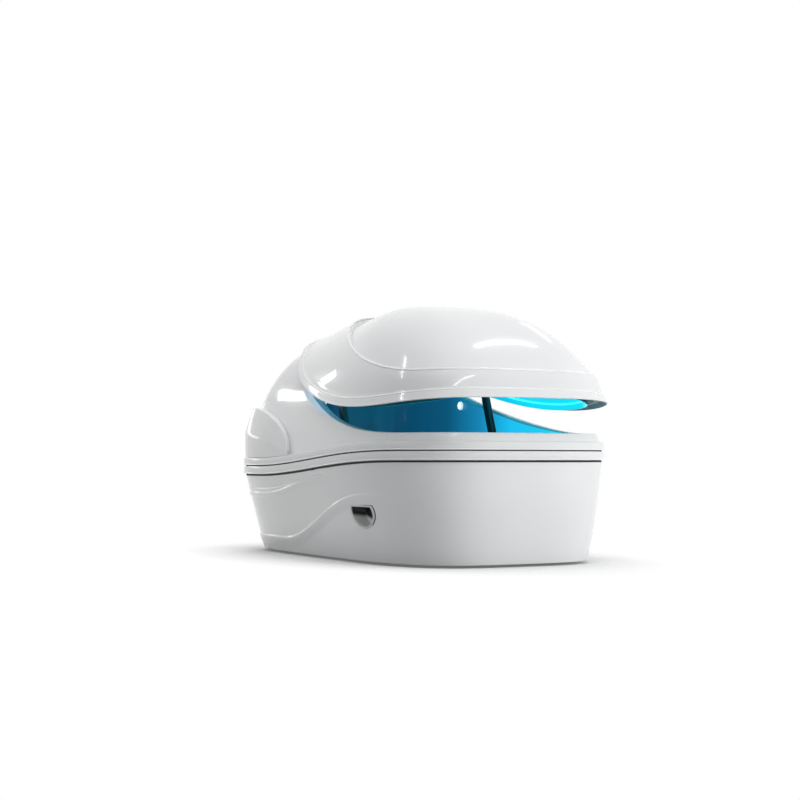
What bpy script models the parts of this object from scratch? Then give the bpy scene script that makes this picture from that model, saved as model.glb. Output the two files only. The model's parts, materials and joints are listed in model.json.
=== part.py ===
# Steam sauna capsule: a lofted clamshell pod on a skirted base, with a hinged lid carried by two gas struts.
# Metres, +Z up, +X towards the open front of the pod, near side -Y.
# The lid is drawn shut and then turned about its hinge into the ajar rest pose.
import bpy
import bmesh
from math import atan2, copysign, cos, hypot, pi, sin
from mathutils import Matrix, Vector

# Plan of the rim: a blunt superellipse, a little wider towards the front.
RIM_HALF_LENGTH, RIM_HALF_WIDTH = 1.10, 0.60
PLAN_EGG = 0.12
FRONT_POWER, REAR_POWER = 3.7, 5.3
FLOOR_HALF_LENGTH, FLOOR_HALF_WIDTH = 1.026, 0.508
FLOOR_SHIFT = 0.039

# Heights of the base and its two rim bands; the bands dip towards the rear.
TOE = 0.012
RIM_BOTTOM, GROOVE, BAND_TOP = 0.480, 0.524, 0.565
REAR_DIP = 0.072
DIP_FROM, DIP_TO = -0.61, 0.88

# Skirt: its wall, the swell of its front, and two ridges that sweep up from the rear corners.
SKIRT_INSET, SKIRT_WALL = 0.010, 0.010
FRONT_BULGE = 0.013
RIDGE_PROUD = 0.007
LOW_RIDGE, LOW_RIDGE_CLIMB, LOW_RIDGE_FROM, LOW_RIDGE_RUN = 0.085, 0.235, -0.45, 1.07
HIGH_RIDGE, HIGH_RIDGE_CLIMB, HIGH_RIDGE_FROM, HIGH_RIDGE_RUN = 0.308, 0.104, -0.62, 0.95
GRIP_X, GRIP_TOP, GRIP_HALF, GRIP_DEEP = 0.566, 0.2745, 0.1015, 0.1095
GRIP_LEAN, GRIP_SWELL, GRIP_SHOULDER = 0.010, 0.012, 0.018

# The domed form shared by the fixed rear hood and the lid.
APEX_X = -0.317
CURVE_FRONT, CURVE_SIDE, CURVE_REAR = 3.46, 2.98, 4.33
CURVE_RATIO = 0.382
HOOD_INSET, HOOD_RISE = 0.020, 0.554
LID_INSET, LID_RISE = -0.003, 0.574
SHELL = 0.009
COVER_FRONT, COVER_LEVEL, COVER_TOP, COVER_CORNER = -0.20, -0.75, 0.762, 1.95

# Sill of the opening: level at the front, sweeping up to the hood at the rear.
SILL = 0.604
SILL_SWEEP_FROM, SILL_SWEEP = 0.88, 0.192
ARCH_FROM, ARCH_SWEEP = -0.20, 0.538
SILL_ROUND, SILL_FACE, SILL_LIP = 0.004, 0.035, 0.028
LID_OVERLAP_DROP, LID_OVERLAP_BACK = 0.015, 0.030

# Lid skin: a lip round the lower edge, a flank that swells to a shoulder, and a domed panel let in behind it.
LIP_PROUD, LIP_HEIGHT, LIP_FADE = 0.004, 0.040, 0.006
SHOULDER_SIDE, SHOULDER_FRONT, SHOULDER_FADE = 0.015, 0.018, 0.8
STEP_REAR, STEP_FRONT = 0.024, 0.004
CROWN_REAR, CROWN_RISE, CROWN_FALL = -0.026, 0.070, 0.030
PANEL_LINE, PANEL_FROM, PANEL_SWEEP, PANEL_POWER = 0.689, 0.919, 0.4286, 1.503
PANEL_ROWS = (0.965, 0.82, 0.58, 0.32)
SEAL_SEAT = 0.0075
LINER_INSET, LINER_DROP, LINER_WALL, LINER_HANG = 0.060, 0.045, 0.005, 0.026
LINER_ROWS = (0.86, 0.66, 0.42, 0.20)
LID_POLE_X = 0.35

# Tub: hung by a flange under the sill's lip, with a lower rear wall that leaves the hinge arms room.
TUB_INSET, TUB_DROP, TUB_WALL = 0.052, 0.020, 0.006
TUB_FLANGE, TUB_FLANGE_DROP, TUB_FLANGE_THICK = 0.018, 0.0125, 0.004
TUB_REAR_TOP, TUB_FLOOR, TUB_POLE_X = 0.86, 0.190, 0.23
LAMP_X, LAMP_Z, LAMP_RADIUS = -0.15, 0.766, 0.0225

# Hinge and struts.
HINGE = Vector((-0.70, 0.0, 0.95))
AJAR = 0.094
HINGE_Y = 0.16
STRUT_Y = 0.42
STRUT_TOP = Vector((0.042, 0.0, 0.875))
STRUT_FOOT = Vector((0.244, 0.0, 0.30))
STRUT_LONG, STRUT_SHORT, STRUT_TURN = 0.023, 0.010, 0.436
STRUT_BORE, ROD_RADIUS = 0.0056, 0.0050

# The origin stands under the middle of the pod as it rests with its lid ajar.
CENTRING = Vector((-0.01317, 0.0, 0.0))

ROUND, FINE_ROUND = 52, 36
CORNER_SHARE = 0.35
SHARP = 0.6

WHITE = (0.83, 0.85, 0.86)
BLUE = (0.05, 0.42, 0.62)
BLACK = (0.02, 0.02, 0.022)
STEEL = (0.55, 0.56, 0.58)
SIDES = ((-1, "near"), (1, "far"))

for item in list(bpy.data.objects):
    bpy.data.objects.remove(item, do_unlink=True)
parts = bpy.data.collections.new("steam_sauna_capsule")
cutters = bpy.data.collections.new("cutters")
for collection in (parts, cutters):
    bpy.context.scene.collection.children.link(collection)


def smooth(value):
    value = min(1.0, max(0.0, value))
    return value * value * (3.0 - 2.0 * value)


def up(z):
    return Vector((0.0, 0.0, z))


def bisect(low, high, isLow):
    # the value between low and high at which isLow stops being true
    for _ in range(40):
        middle = 0.5 * (low + high)
        if isLow(middle):
            low = middle
        else:
            high = middle
    return low


# the plan and the heights
def superellipse(t, halfLength, halfWidth):
    c, s = cos(t), sin(t)
    power = 2.0 / (FRONT_POWER if c > 0 else REAR_POWER)
    x = copysign(abs(c) ** power, c) * halfLength
    y = copysign(abs(s) ** power, s) * halfWidth * (1.0 + PLAN_EGG * x / halfLength)
    return x, y


def planPoint(t, inset=0.0):
    return superellipse(t, RIM_HALF_LENGTH - inset, RIM_HALF_WIDTH - inset)


def planNormal(t):
    ax, ay = planPoint(t - 0.002)
    bx, by = planPoint(t + 0.002)
    return Vector((by - ay, ax - bx, 0.0)).normalized()


def bandPoint(t, inset, z):
    return Vector((*planPoint(t, inset), z))


def floorPoint(t):
    x, y = superellipse(t, FLOOR_HALF_LENGTH, FLOOR_HALF_WIDTH)
    return x + FLOOR_SHIFT, y


def sharedOut(angles, length, count):
    # the angles at equal shares of a running length
    stations, i = [], 0
    for k in range(count):
        target = length[-1] * k / count
        while length[i + 1] < target:
            i += 1
        share = (target - length[i]) / (length[i + 1] - length[i])
        stations.append(angles[i] + share * (angles[i + 1] - angles[i]))
    return stations


def evenStations(count, begin=0.0, end=2 * pi, dense=2880):
    # angles that share out the rim's length, closer together where it bends
    angles = [begin + (end - begin) * i / dense for i in range(dense + 1)]
    points = [Vector(planPoint(a)) for a in angles]
    length, last = [0.0], None
    for a, b in zip(points, points[1:]):
        step = b - a
        bend = abs(last.angle_signed(step, 0.0)) if last else 0.0
        length.append(length[-1] + step.length + CORNER_SHARE * bend)
        last = step
    return sharedOut(angles, length, count)


def dip(x):
    return -REAR_DIP * (1.0 - smooth((x - DIP_FROM) / (DIP_TO - DIP_FROM)))


def sillHeight(x):
    sweep = SILL_SWEEP * max(0.0, SILL_SWEEP_FROM - x) ** 2
    return SILL + sweep + ARCH_SWEEP * max(0.0, ARCH_FROM - x) ** 2


def lidEdgeHeight(x):
    return sillHeight(x + LID_OVERLAP_BACK) - LID_OVERLAP_DROP


def panelHeight(x):
    return PANEL_LINE + PANEL_SWEEP * max(0.0, PANEL_FROM - x) ** PANEL_POWER


def lowRidge(x):
    return LOW_RIDGE + LOW_RIDGE_CLIMB * smooth((x - LOW_RIDGE_FROM) / LOW_RIDGE_RUN)


def highRidge(x):
    return HIGH_RIDGE + HIGH_RIDGE_CLIMB * smooth((x - HIGH_RIDGE_FROM) / HIGH_RIDGE_RUN)


# the domed form, by angle and share of the way out from its apex
def formPoint(t, r, inset, rise):
    ox, oy = planPoint(t, inset)
    c = cos(t)
    curve = CURVE_SIDE + (CURVE_FRONT - CURVE_SIDE) * max(c, 0.0) ** 2
    curve += (CURVE_REAR - CURVE_SIDE) * max(-c, 0.0) ** 2
    lift = rise * max(0.0, 1.0 - r ** curve) ** (1.0 / (curve * CURVE_RATIO))
    return Vector((APEX_X + (ox - APEX_X) * r, oy * r, BAND_TOP + dip(ox) * r * r + lift))


def formRadius(t, inset, rise, level):
    def above(r):
        p = formPoint(t, r, inset, rise)
        return p.z > level(p.x)

    return bisect(0.0, 1.0, above)


def formHeight(x, y, inset, rise):
    aim = atan2(abs(y), x - APEX_X)

    def short(t):
        ox, oy = planPoint(t, inset)
        return atan2(oy, ox - APEX_X) < aim

    t = bisect(0.0, pi, short)
    ox, oy = planPoint(t, inset)
    r = min(1.0, hypot(x - APEX_X, y) / hypot(ox - APEX_X, oy))
    return formPoint(t, r, inset, rise).z


def onForm(q, inset, rise):
    return Vector((q.x, q.y, formHeight(q.x, q.y, inset, rise)))


def inwardNormals(loop):
    normals = []
    for i in range(len(loop)):
        along = loop[(i + 1) % len(loop)] - loop[i - 1]
        normals.append(Vector((-along.y, along.x, 0.0)).normalized())
    return normals


def ajar(p):
    d = Vector(p) - HINGE
    x = HINGE.x + d.x * cos(AJAR) - d.z * sin(AJAR)
    return Vector((x, p[1], HINGE.z + d.x * sin(AJAR) + d.z * cos(AJAR)))


# making objects
def pivotAt(name, place, parent=None):
    # an empty on a joint's axis, which carries the pieces that turn or slide there
    empty = bpy.data.objects.new(name, None)
    parts.objects.link(empty)
    empty["place"] = place + CENTRING
    empty.location = place + CENTRING
    if parent:
        empty.parent = parent
        empty.location -= Vector(parent["place"])
    return empty


def paint(data, name, colour, roughness, metallic):
    material = bpy.data.materials.new(name)
    material.use_nodes = True
    shader = material.node_tree.nodes["Principled BSDF"]
    shader.inputs["Base Color"].default_value = (*colour, 1.0)
    shader.inputs["Roughness"].default_value = roughness
    shader.inputs["Metallic"].default_value = metallic
    data.materials.append(material)


def addObject(name, data, pivot, collection):
    obj = bpy.data.objects.new(name, data)
    collection.objects.link(obj)
    obj.parent = pivot
    return obj


def finish(name, bm, colour, roughness=0.4, metallic=0.0, pivot=None, collection=parts):
    bmesh.ops.recalc_face_normals(bm, faces=bm.faces)
    origin = Vector(pivot["place"]) if pivot else Vector()
    bm.transform(Matrix.Translation(CENTRING - origin))
    mesh = bpy.data.meshes.new(name)
    bm.to_mesh(mesh)
    bm.free()
    mesh.shade_smooth()
    mesh.set_sharp_from_angle(angle=SHARP)
    paint(mesh, name, colour, roughness, metallic)
    return addObject(name, mesh, pivot, collection)


def turned(name, profile, start, toward, colour, roughness=0.4, metallic=0.0, steps=16, closed=False,
           pivot=None, collection=parts):
    # a profile of (radius, along), screwed once round the line from start in the direction toward
    mesh = bpy.data.meshes.new(name)
    verts = [(radius, 0.0, along) for radius, along in reversed(profile)]
    edges = [(i, i + 1) for i in range(len(verts) - 1)]
    if closed:
        edges.append((len(verts) - 1, 0))
    mesh.from_pydata(verts, edges, [])
    paint(mesh, name, colour, roughness, metallic)
    obj = addObject(name, mesh, pivot, collection)
    origin = Vector(pivot["place"]) if pivot else Vector()
    obj.location = Vector(start) + CENTRING - origin
    obj.rotation_euler = Vector((0, 0, 1)).rotation_difference(Vector(toward)).to_euler()
    screw = obj.modifiers.new("Screw", "SCREW")
    screw.steps = steps
    screw.render_steps = steps
    screw.use_merge_vertices = True
    screw.merge_threshold = 0.00001
    screw.use_smooth_shade = True
    return obj


def ringsOf(rows):
    return [list(ring) for ring in zip(*rows)]


def skin(rings, wrap=False, split=False):
    # loft through rings of points; a ring of one point is a pole; split gives both sides the same facets
    bm = bmesh.new()
    rows = [[bm.verts.new(p) for p in ring] for ring in rings]
    pairs = list(zip(rows, rows[1:]))
    if wrap:
        pairs.append((rows[-1], rows[0]))
    for a, b in pairs:
        count = max(len(a), len(b))
        for j in range(count):
            k = (j + 1) % count
            if len(a) == 1:
                bm.faces.new((a[0], b[k], b[j]))
            elif len(b) == 1:
                bm.faces.new((a[j], a[k], b[0]))
            else:
                bm.faces.new((a[j], a[k], b[k], b[j]))
    if split:
        bmesh.ops.triangulate(bm, faces=bm.faces, quad_method="SHORT_EDGE")
    return bm


def capped(rings):
    # the same rings with a pole at the middle of the first and of the last
    ends = [sum(ring, Vector()) / len(ring) for ring in (rings[0], rings[-1])]
    return [[ends[0]]] + rings + [[ends[1]]]


def plate(outline, near, far):
    # an outline of (x, z) pairs pushed from near to far along Y
    bm = bmesh.new()
    face = bm.faces.new([bm.verts.new((x, near, z)) for x, z in outline])
    moved = bmesh.ops.extrude_face_region(bm, geom=[face])["geom"]
    verts = [v for v in moved if isinstance(v, bmesh.types.BMVert)]
    bmesh.ops.translate(bm, verts=verts, vec=(0.0, far - near, 0.0))
    return bm


def block(low, high):
    low, high = Vector(low), Vector(high)
    bm = bmesh.new()
    size = Matrix.Diagonal((*(high - low), 1.0))
    bmesh.ops.create_cube(bm, size=1.0, matrix=Matrix.Translation(0.5 * (low + high)) @ size)
    return bm


def disc(centre, radius, count=18):
    turns = [2 * pi * i / count for i in range(count)]
    return [(centre[0] + radius * cos(a), centre[1] + radius * sin(a)) for a in turns]


def soften(obj, width, segments):
    bevel = obj.modifiers.new("Bevel", "BEVEL")
    bevel.width = width
    bevel.segments = segments
    bevel.limit_method = "ANGLE"


def combine(obj, tool, operation):
    if isinstance(tool, bmesh.types.BMesh):
        tool = finish(obj.name + "_tool_" + str(len(obj.modifiers)), tool, STEEL, collection=cutters)
    tool.display_type = "WIRE"
    tool.hide_render = True
    boolean = obj.modifiers.new("Boolean", "BOOLEAN")
    boolean.operation = operation
    boolean.solver = "EXACT"
    boolean.object = tool


def reposed(bm, pose):
    for v in bm.verts:
        v.co = pose(v.co)
    return bm


stations = evenStations(ROUND)


# base skirt: tapered wall with two swept ridges and the lower rim band
def skirtPoint(t, z, inset=0.0, proud=0.0):
    fx, fy = floorPoint(t)
    rx, ry = planPoint(t, SKIRT_INSET)
    s = (z - TOE) / (RIM_BOTTOM + dip(rx) - TOE)
    out = FRONT_BULGE * max(0.0, cos(t)) ** 2 * 4 * s * (1 - s) + proud - inset
    return Vector((fx + (rx - fx) * s, fy + (ry - fy) * s, z)) + planNormal(t) * out


def skirtSide(x, z):
    # the skirt's outer face on the -Y side at a given x and height
    t = bisect(pi, 2 * pi, lambda t: skirtPoint(t, z).x < x)
    return skirtPoint(t, z).y


def skirtRings():
    rows = []
    for t in stations:
        x, y = planPoint(t)
        lower, upper = lowRidge(x), highRidge(x)
        rim, groove = RIM_BOTTOM + dip(x), GROOVE + dip(x)
        rows.append([
            skirtPoint(t, TOE, inset=0.004),
            skirtPoint(t, TOE + 0.008),
            skirtPoint(t, lower - 0.030),
            skirtPoint(t, lower, proud=RIDGE_PROUD * (1.0 - smooth((x - 0.35) / 0.6))),
            skirtPoint(t, lower + 0.014),
            skirtPoint(t, 0.5 * (lower + upper)),
            skirtPoint(t, upper - 0.030),
            skirtPoint(t, upper, proud=RIDGE_PROUD * (1.0 - smooth((x - 0.15) / 0.4))),
            skirtPoint(t, upper + 0.014),
            skirtPoint(t, rim - 0.001),
            bandPoint(t, 0.003, rim),
            bandPoint(t, 0.0, rim + 0.005),
            bandPoint(t, 0.0, groove - 0.007),
            bandPoint(t, 0.003, groove - 0.002),
            bandPoint(t, 0.034, groove - 0.002),
            bandPoint(t, 0.034, rim - 0.012),
            skirtPoint(t, rim - 0.045, inset=SKIRT_WALL),
            skirtPoint(t, 0.22, inset=SKIRT_WALL),
            skirtPoint(t, TOE, inset=SKIRT_WALL + 0.004),
        ])
    return ringsOf(rows)


baseSkirt = finish("base_skirt", skin(skirtRings(), wrap=True), WHITE, 0.15)


# D-shaped grip cups let into both sides of the skirt
def gripOutline(scale, arc=13, flat=7):
    top = GRIP_TOP - GRIP_DEEP * 0.5 * (1 - scale)
    middle = GRIP_X + 0.5 * GRIP_LEAN
    points = []
    for i in range(flat + 1):
        points.append((middle + scale * (0.97 * GRIP_HALF * (2 * i / flat - 1) - 0.5 * GRIP_LEAN), top))
    for i in range(arc):
        a = pi * i / (arc - 1)
        fall = GRIP_SHOULDER + (GRIP_DEEP - GRIP_SHOULDER) * sin(a) ** 0.85
        d = fall / GRIP_DEEP
        swell = GRIP_SWELL * 4 * d * (1 - d) * max(0.0, cos(a))
        across = GRIP_HALF * cos(a) + GRIP_LEAN * (d - 0.5) + swell
        points.append((middle + scale * across, top - scale * fall))
    return points


def gripRing(scale, depth, side):
    return [Vector((x, side * (-skirtSide(x, z) - depth), z)) for x, z in gripOutline(scale)]


GRIP_SECTION = ((0.62, 0.056), (0.80, 0.010), (0.84, -0.0045), (0.98, -0.0045), (1.0, -0.0014),
                (0.915, -0.0012), (0.90, 0.013), (0.68, 0.062))


def gripMiddle(depth, side):
    x, z = GRIP_X + 0.5 * GRIP_LEAN, GRIP_TOP - 0.5 * GRIP_DEEP
    return [Vector((x, side * (-skirtSide(x, z) - depth), z))]


for side, label in SIDES:
    combine(baseSkirt, plate(gripOutline(0.93), side * 0.48, side * 0.72), "DIFFERENCE")
    rings = [gripRing(scale, depth, side) for scale, depth in GRIP_SECTION]
    cup = skin([gripMiddle(0.058, side)] + rings + [gripMiddle(0.064, side)])
    finish("grip_cup_" + label, cup, (0.30, 0.31, 0.32), 0.5)


# dark gasket seen as the line between the two rim bands
def gasketRings():
    rings = []
    for inset, rise in ((0.005, -0.0016), (0.005, 0.0016), (0.030, 0.0016), (0.030, -0.0016)):
        rings.append([bandPoint(t, inset, GROOVE + dip(planPoint(t)[0]) + rise) for t in stations])
    return rings


finish("rim_gasket", skin(gasketRings(), wrap=True), BLACK, 0.8)


# upper shell: upper rim band, ledge, sill wall and the fixed rear hood, in one moulding
def hoodPoint(t, level):
    return formPoint(t, formRadius(t, HOOD_INSET, HOOD_RISE, level), HOOD_INSET, HOOD_RISE)


def sillLoop(around):
    return [hoodPoint(t, lambda x: sillHeight(x) - SILL_ROUND) for t in around]


def sillStations(count, dense=360):
    # angles that share out the length of the sill's own loop
    angles = evenStations(dense)
    loop = sillLoop(angles)
    length = [0.0]
    for a, b in zip(loop, loop[1:] + loop[:1]):
        length.append(length[-1] + (b - a).length)
    return sharedOut(angles + [2 * pi], length, count)


sparse = sillStations(FINE_ROUND)


def upperShellRings():
    loop = sillLoop(stations)
    innerInset, innerRise = HOOD_INSET + SHELL, HOOD_RISE - SHELL
    rows = []
    for t, edge, inward in zip(stations, loop, inwardNormals(loop)):
        x = planPoint(t)[0]
        groove, top = GROOVE + dip(x), BAND_TOP + dip(x)
        sill = edge.z + SILL_ROUND
        outer = formRadius(t, HOOD_INSET, HOOD_RISE, lambda px: sillHeight(px) - SILL_ROUND)
        inner = formRadius(t, innerInset, innerRise, lambda px: sillHeight(px) - 0.016)
        row = [bandPoint(t, 0.034, groove + 0.002), bandPoint(t, 0.003, groove + 0.002)]
        row += [bandPoint(t, 0.0, groove + 0.007), bandPoint(t, 0.0, top - 0.007), bandPoint(t, 0.005, top)]
        for w in (0.0, 0.10, 0.28, 0.52, 0.78):
            row.append(formPoint(t, 1 - (1 - outer) * w, HOOD_INSET, HOOD_RISE))
        row.append(edge)
        lip = ((SILL_ROUND, 0.0), (SILL_FACE, 0.0), (SILL_FACE + 0.003, -0.004))
        lip += ((SILL_FACE + 0.003, -SILL_LIP), (SILL_FACE - 0.004, -SILL_LIP), (SILL_FACE - 0.006, -0.011))
        for across, rise in lip:
            row.append(Vector((edge.x, edge.y, sill + rise)) + inward * across)
        for w in (1.0, 0.66, 0.30):
            row.append(formPoint(t, 1 - (1 - inner) * w, innerInset, innerRise))
        rows.append(row)
    return ringsOf(rows)


finish("upper_shell", skin(upperShellRings(), wrap=True), WHITE, 0.12)


# rear service cover: a raised cowl standing on the ledge and wrapping the rear of the hood
def coverTop(x, base):
    share = min(1.0, max(0.0, (x - COVER_LEVEL) / (COVER_FRONT - COVER_LEVEL)))
    height = max(0.0, 1.0 - share ** COVER_CORNER) ** (1.0 / COVER_CORNER)
    return max(base + 0.022, base + (COVER_TOP - base) * height)


def coverRings(across=26, rows=5):
    begin = bisect(0.0, pi, lambda t: planPoint(t)[0] > COVER_FRONT - 0.004)
    end = 2 * pi - begin
    rings = []
    for t in evenStations(across, begin, end) + [end]:
        x = planPoint(t)[0]
        base = BAND_TOP + dip(x) + 0.0012
        top = coverTop(x, base)
        proud = 0.016 + 0.026 * smooth((-0.15 - x) / 0.5)
        outward = planNormal(t)
        front, back = [], []
        for j in range(rows + 1):
            z = base + (top - base) * j / rows
            wall = hoodPoint(t, lambda px: z)
            reach = (bandPoint(t, 0.006, z) - wall).dot(outward)
            lift = min(proud * (1.0 if j < rows else 0.72), reach)
            front.append(wall + outward * max(0.010, lift))
            back.append(wall + outward * 0.005)
        rings.append(front + back[::-1])
    return capped(rings)


finish("rear_service_cover", skin(coverRings()), WHITE, 0.15)


# tub liner, lofted from its floor up to the flange
def tubLoop():
    loop = sillLoop(sparse)
    tops = []
    for p, n in zip(loop, inwardNormals(loop)):
        q = p + n * TUB_INSET
        tops.append(Vector((q.x, q.y, min(p.z + SILL_ROUND - TUB_DROP, TUB_REAR_TOP))))
    return tops


tubTop = tubLoop()
tubCentre = Vector((TUB_POLE_X, 0.0, 0.0))


def tubRing(scale, extra, height=None, drop=0.0):
    # the top's outline scaled about the tub's centre and grown, at one height or below the top's own edge
    ring = []
    for p in tubTop:
        d = Vector((p.x, p.y, 0.0)) - tubCentre
        z = p.z - drop if height is None else height
        ring.append(tubCentre + d * scale + d.normalized() * extra + up(z))
    return ring


tubWalls = ((0.82, TUB_FLOOR), (0.90, 0.235), (0.955, 0.34), (0.985, 0.50))


def tubRings():
    inside = [tubRing(scale, 0.0, height) for scale, height in tubWalls] + [tubRing(1.0, 0.0)]
    under = TUB_FLANGE_DROP + TUB_FLANGE_THICK
    flange = [tubRing(1.0, TUB_WALL), tubRing(1.0, TUB_WALL, drop=TUB_FLANGE_DROP)]
    flange += [tubRing(1.0, TUB_FLANGE, drop=TUB_FLANGE_DROP), tubRing(1.0, TUB_FLANGE, drop=under)]
    flange += [tubRing(1.0, TUB_WALL, drop=under)]
    outside = [tubRing(scale, TUB_WALL, height) for scale, height in tubWalls[:1:-1]]
    outside += [tubRing(0.90, TUB_WALL, 0.231), tubRing(0.82, TUB_WALL, TUB_FLOOR - TUB_WALL)]
    poles = [[tubCentre + up(TUB_FLOOR)], [tubCentre + up(TUB_FLOOR - TUB_WALL)]]
    return poles[:1] + inside + flange + outside + poles[1:]


finish("tub_liner", skin(tubRings()), BLUE, 0.2)


# bed panel: a contoured lounger with a raised back, lofted along the pod
BED = ((-0.46, 0.18, 0.560), (-0.40, 0.22, 0.535), (-0.20, 0.31, 0.452), (0.0, 0.355, 0.395),
       (0.15, 0.365, 0.378), (0.35, 0.37, 0.392), (0.50, 0.37, 0.398), (0.65, 0.35, 0.388),
       (0.80, 0.29, 0.382), (0.86, 0.24, 0.380))
BED_TOP = ((-1, 0.0), (-0.86, 0.010), (-0.45, -0.010), (0, -0.016), (0.45, -0.010), (0.86, 0.010), (1, 0.0))
BED_THICK = 0.032


def bedRings():
    rings = []
    for x, half, z in BED:
        ring = [Vector((x, half * share, z + sag)) for share, sag in BED_TOP]
        ring += [Vector((x, half * share * 0.96, z - BED_THICK)) for share in (1, 0.45, -0.45, -1)]
        rings.append(ring)
    return capped(rings)


finish("bed_panel", skin(bedRings()), (0.75, 0.80, 0.83), 0.35)
for label, x, z in (("rear", -0.12, 0.372), ("front", 0.62, 0.338)):
    support = block((x - 0.03, -0.26, TUB_FLOOR + 0.0008), (x + 0.03, 0.26, z))
    soften(finish("bed_support_" + label, support, (0.6, 0.64, 0.66), 0.5), 0.004, 1)

# headrest: a soft bolster lying across the top of the bed's back
HEADREST = Vector((-0.345, 0.0, 0.562))
HEADREST_SWELL = ((-0.15, 0.62), (-0.135, 0.86), (-0.08, 1.0), (0.0, 0.95), (0.08, 1.0), (0.135, 0.86),
                  (0.15, 0.62))
HEADREST_LONG, HEADREST_THICK, HEADREST_END = 0.055, 0.030, 0.156


def headrestRings(count=18):
    rings = []
    for y, swell in HEADREST_SWELL:
        ring = []
        for i in range(count):
            a = 2 * pi * i / count
            along, thick = HEADREST_LONG * swell * cos(a), HEADREST_THICK * swell * sin(a)
            ring.append(HEADREST + Vector((along * 0.93 + thick * 0.37, y, thick * 0.93 - along * 0.37)))
        rings.append(ring)
    ends = [[HEADREST + Vector((0.0, y, 0.0))] for y in (-HEADREST_END, HEADREST_END)]
    return ends[:1] + rings + ends[1:]


finish("headrest", skin(headrestRings()), (0.06, 0.07, 0.08), 0.7)

# chassis: welded tube frame with the two uprights that carry the hinges
rail = block((-0.90, -0.32, 0.034), (0.86, -0.28, 0.074))
chassis = finish("chassis_frame", rail, (0.10, 0.105, 0.11), 0.6)
combine(chassis, block((-0.88, -0.30, 0.036), (-0.84, 0.32, 0.072)), "UNION")
combine(chassis, block((0.78, -0.30, 0.036), (0.82, 0.32, 0.072)), "UNION")
combine(chassis, block((-0.725, -0.305, 0.038), (-0.685, 0.31, 0.070)), "UNION")
combine(chassis, block((-0.902, 0.279, 0.0345), (0.862, 0.319, 0.0735)), "UNION")
for side, label in SIDES:
    y = side * HINGE_Y
    combine(chassis, block((-0.7201, y - 0.0201, 0.0402), (-0.6801, y + 0.0199, 0.9002)), "UNION")

# levelling feet screwed up into the chassis rails
FOOT_PLACES = (("front_near", 0.70, -0.30), ("front_far", 0.70, 0.30), ("rear_near", -0.78, -0.30),
               ("rear_far", -0.78, 0.30))
FOOT_PROFILE = ((0, 0), (0.030, 0), (0.032, 0.003), (0.032, 0.009), (0.012, 0.014), (0.008, 0.016),
                (0.008, 0.0335), (0, 0.0335))
for label, x, y in FOOT_PLACES:
    turned("foot_" + label, FOOT_PROFILE, (x, y, 0), (0, 0, 1), BLACK, 0.7, steps=12)

# lid: everything below is drawn shut and swung to the ajar pose
lidPole = Vector((LID_POLE_X, 0.0, 0.0))
lidHinge = pivotAt("lid_hinge_axis", HINGE)


def towardPole(p, share):
    return lidPole + (Vector((p.x, p.y, 0.0)) - lidPole) * share


def shareAt(p, level):
    # how far out towards p the lid's form comes down to a height
    def above(share):
        q = towardPole(p, share)
        return formHeight(q.x, q.y, LID_INSET, LID_RISE) > level(q.x)

    return bisect(0.0, 1.0, above)


def shoulderProud(p):
    # the flank stands out least at the rear on the centre line and most at the front
    crown = smooth(-p.x / 0.20) * (1.0 - smooth(abs(p.y) / 0.30))
    full = SHOULDER_SIDE + (SHOULDER_FRONT - SHOULDER_SIDE) * smooth((p.x - 0.2) / 0.6)
    return full * (1.0 - SHOULDER_FADE * crown)


def panelProud(q, w, shoulder):
    # the panel lies a step behind the shoulder at its edge and rises to its crown
    edge = shoulder - STEP_REAR + (STEP_REAR - STEP_FRONT) * smooth((q.x + 0.10) / 0.70)
    crown = CROWN_REAR + CROWN_RISE * smooth((q.x + 0.05) / 0.50) - CROWN_FALL * smooth((q.x - 0.50) / 0.45)
    return edge + (crown - edge) * (1.0 - (w / PANEL_ROWS[0]) ** 2)


def lidOuter(p, inward):
    lipShare = shareAt(p, lambda x: lidEdgeHeight(x) + LIP_HEIGHT)
    lipOver = shareAt(p, lambda x: lidEdgeHeight(x) + LIP_HEIGHT + LIP_FADE)
    panel = shareAt(p, panelHeight)
    shoulder = shoulderProud(towardPole(p, panel))
    lip = onForm(towardPole(p, lipShare), LID_INSET, LID_RISE)
    row = [p - inward * (LIP_PROUD - 0.002), p - inward * LIP_PROUD + up(0.004), lip - inward * LIP_PROUD]
    for w in (0.0, 0.34, 0.67, 1.0):
        proud = shoulder * (1.0 - (1.0 - w) ** 2.2)
        q = towardPole(p, lipOver + (panel - lipOver) * w)
        row.append(onForm(q, LID_INSET - proud, LID_RISE + proud))
    for w in PANEL_ROWS:
        q = towardPole(p, panel * w)
        proud = panelProud(q, w, shoulder)
        row.append(onForm(q, LID_INSET - proud, LID_RISE + proud))
    return row


def lidInner(p, inward, sill, across):
    seat = sill.z + SILL_ROUND + SEAL_SEAT
    face = lambda reach: Vector((sill.x, sill.y, seat)) + across * reach
    foot = face(0.050)
    panel = min(0.96, shareAt(foot, panelHeight))
    shoulder = shoulderProud(towardPole(foot, panel))
    row = [p + inward * 0.006, face(-0.0095), face(0.044)]
    knee = onForm(foot, LID_INSET + SHELL, LID_RISE - SHELL)
    knee.z = min(seat + 0.022, knee.z)
    row.append(knee)
    for w in (0.75, 0.38):
        q = towardPole(foot, panel * PANEL_ROWS[0] * (1.0 - w) + w)
        row.append(onForm(q, LID_INSET + SHELL, LID_RISE - SHELL))
    for w in PANEL_ROWS:
        q = towardPole(foot, panel * w)
        sunk = SHELL - min(0.0, panelProud(q, w, shoulder))
        row.append(onForm(q, LID_INSET + sunk, LID_RISE - sunk))
    return row


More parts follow.
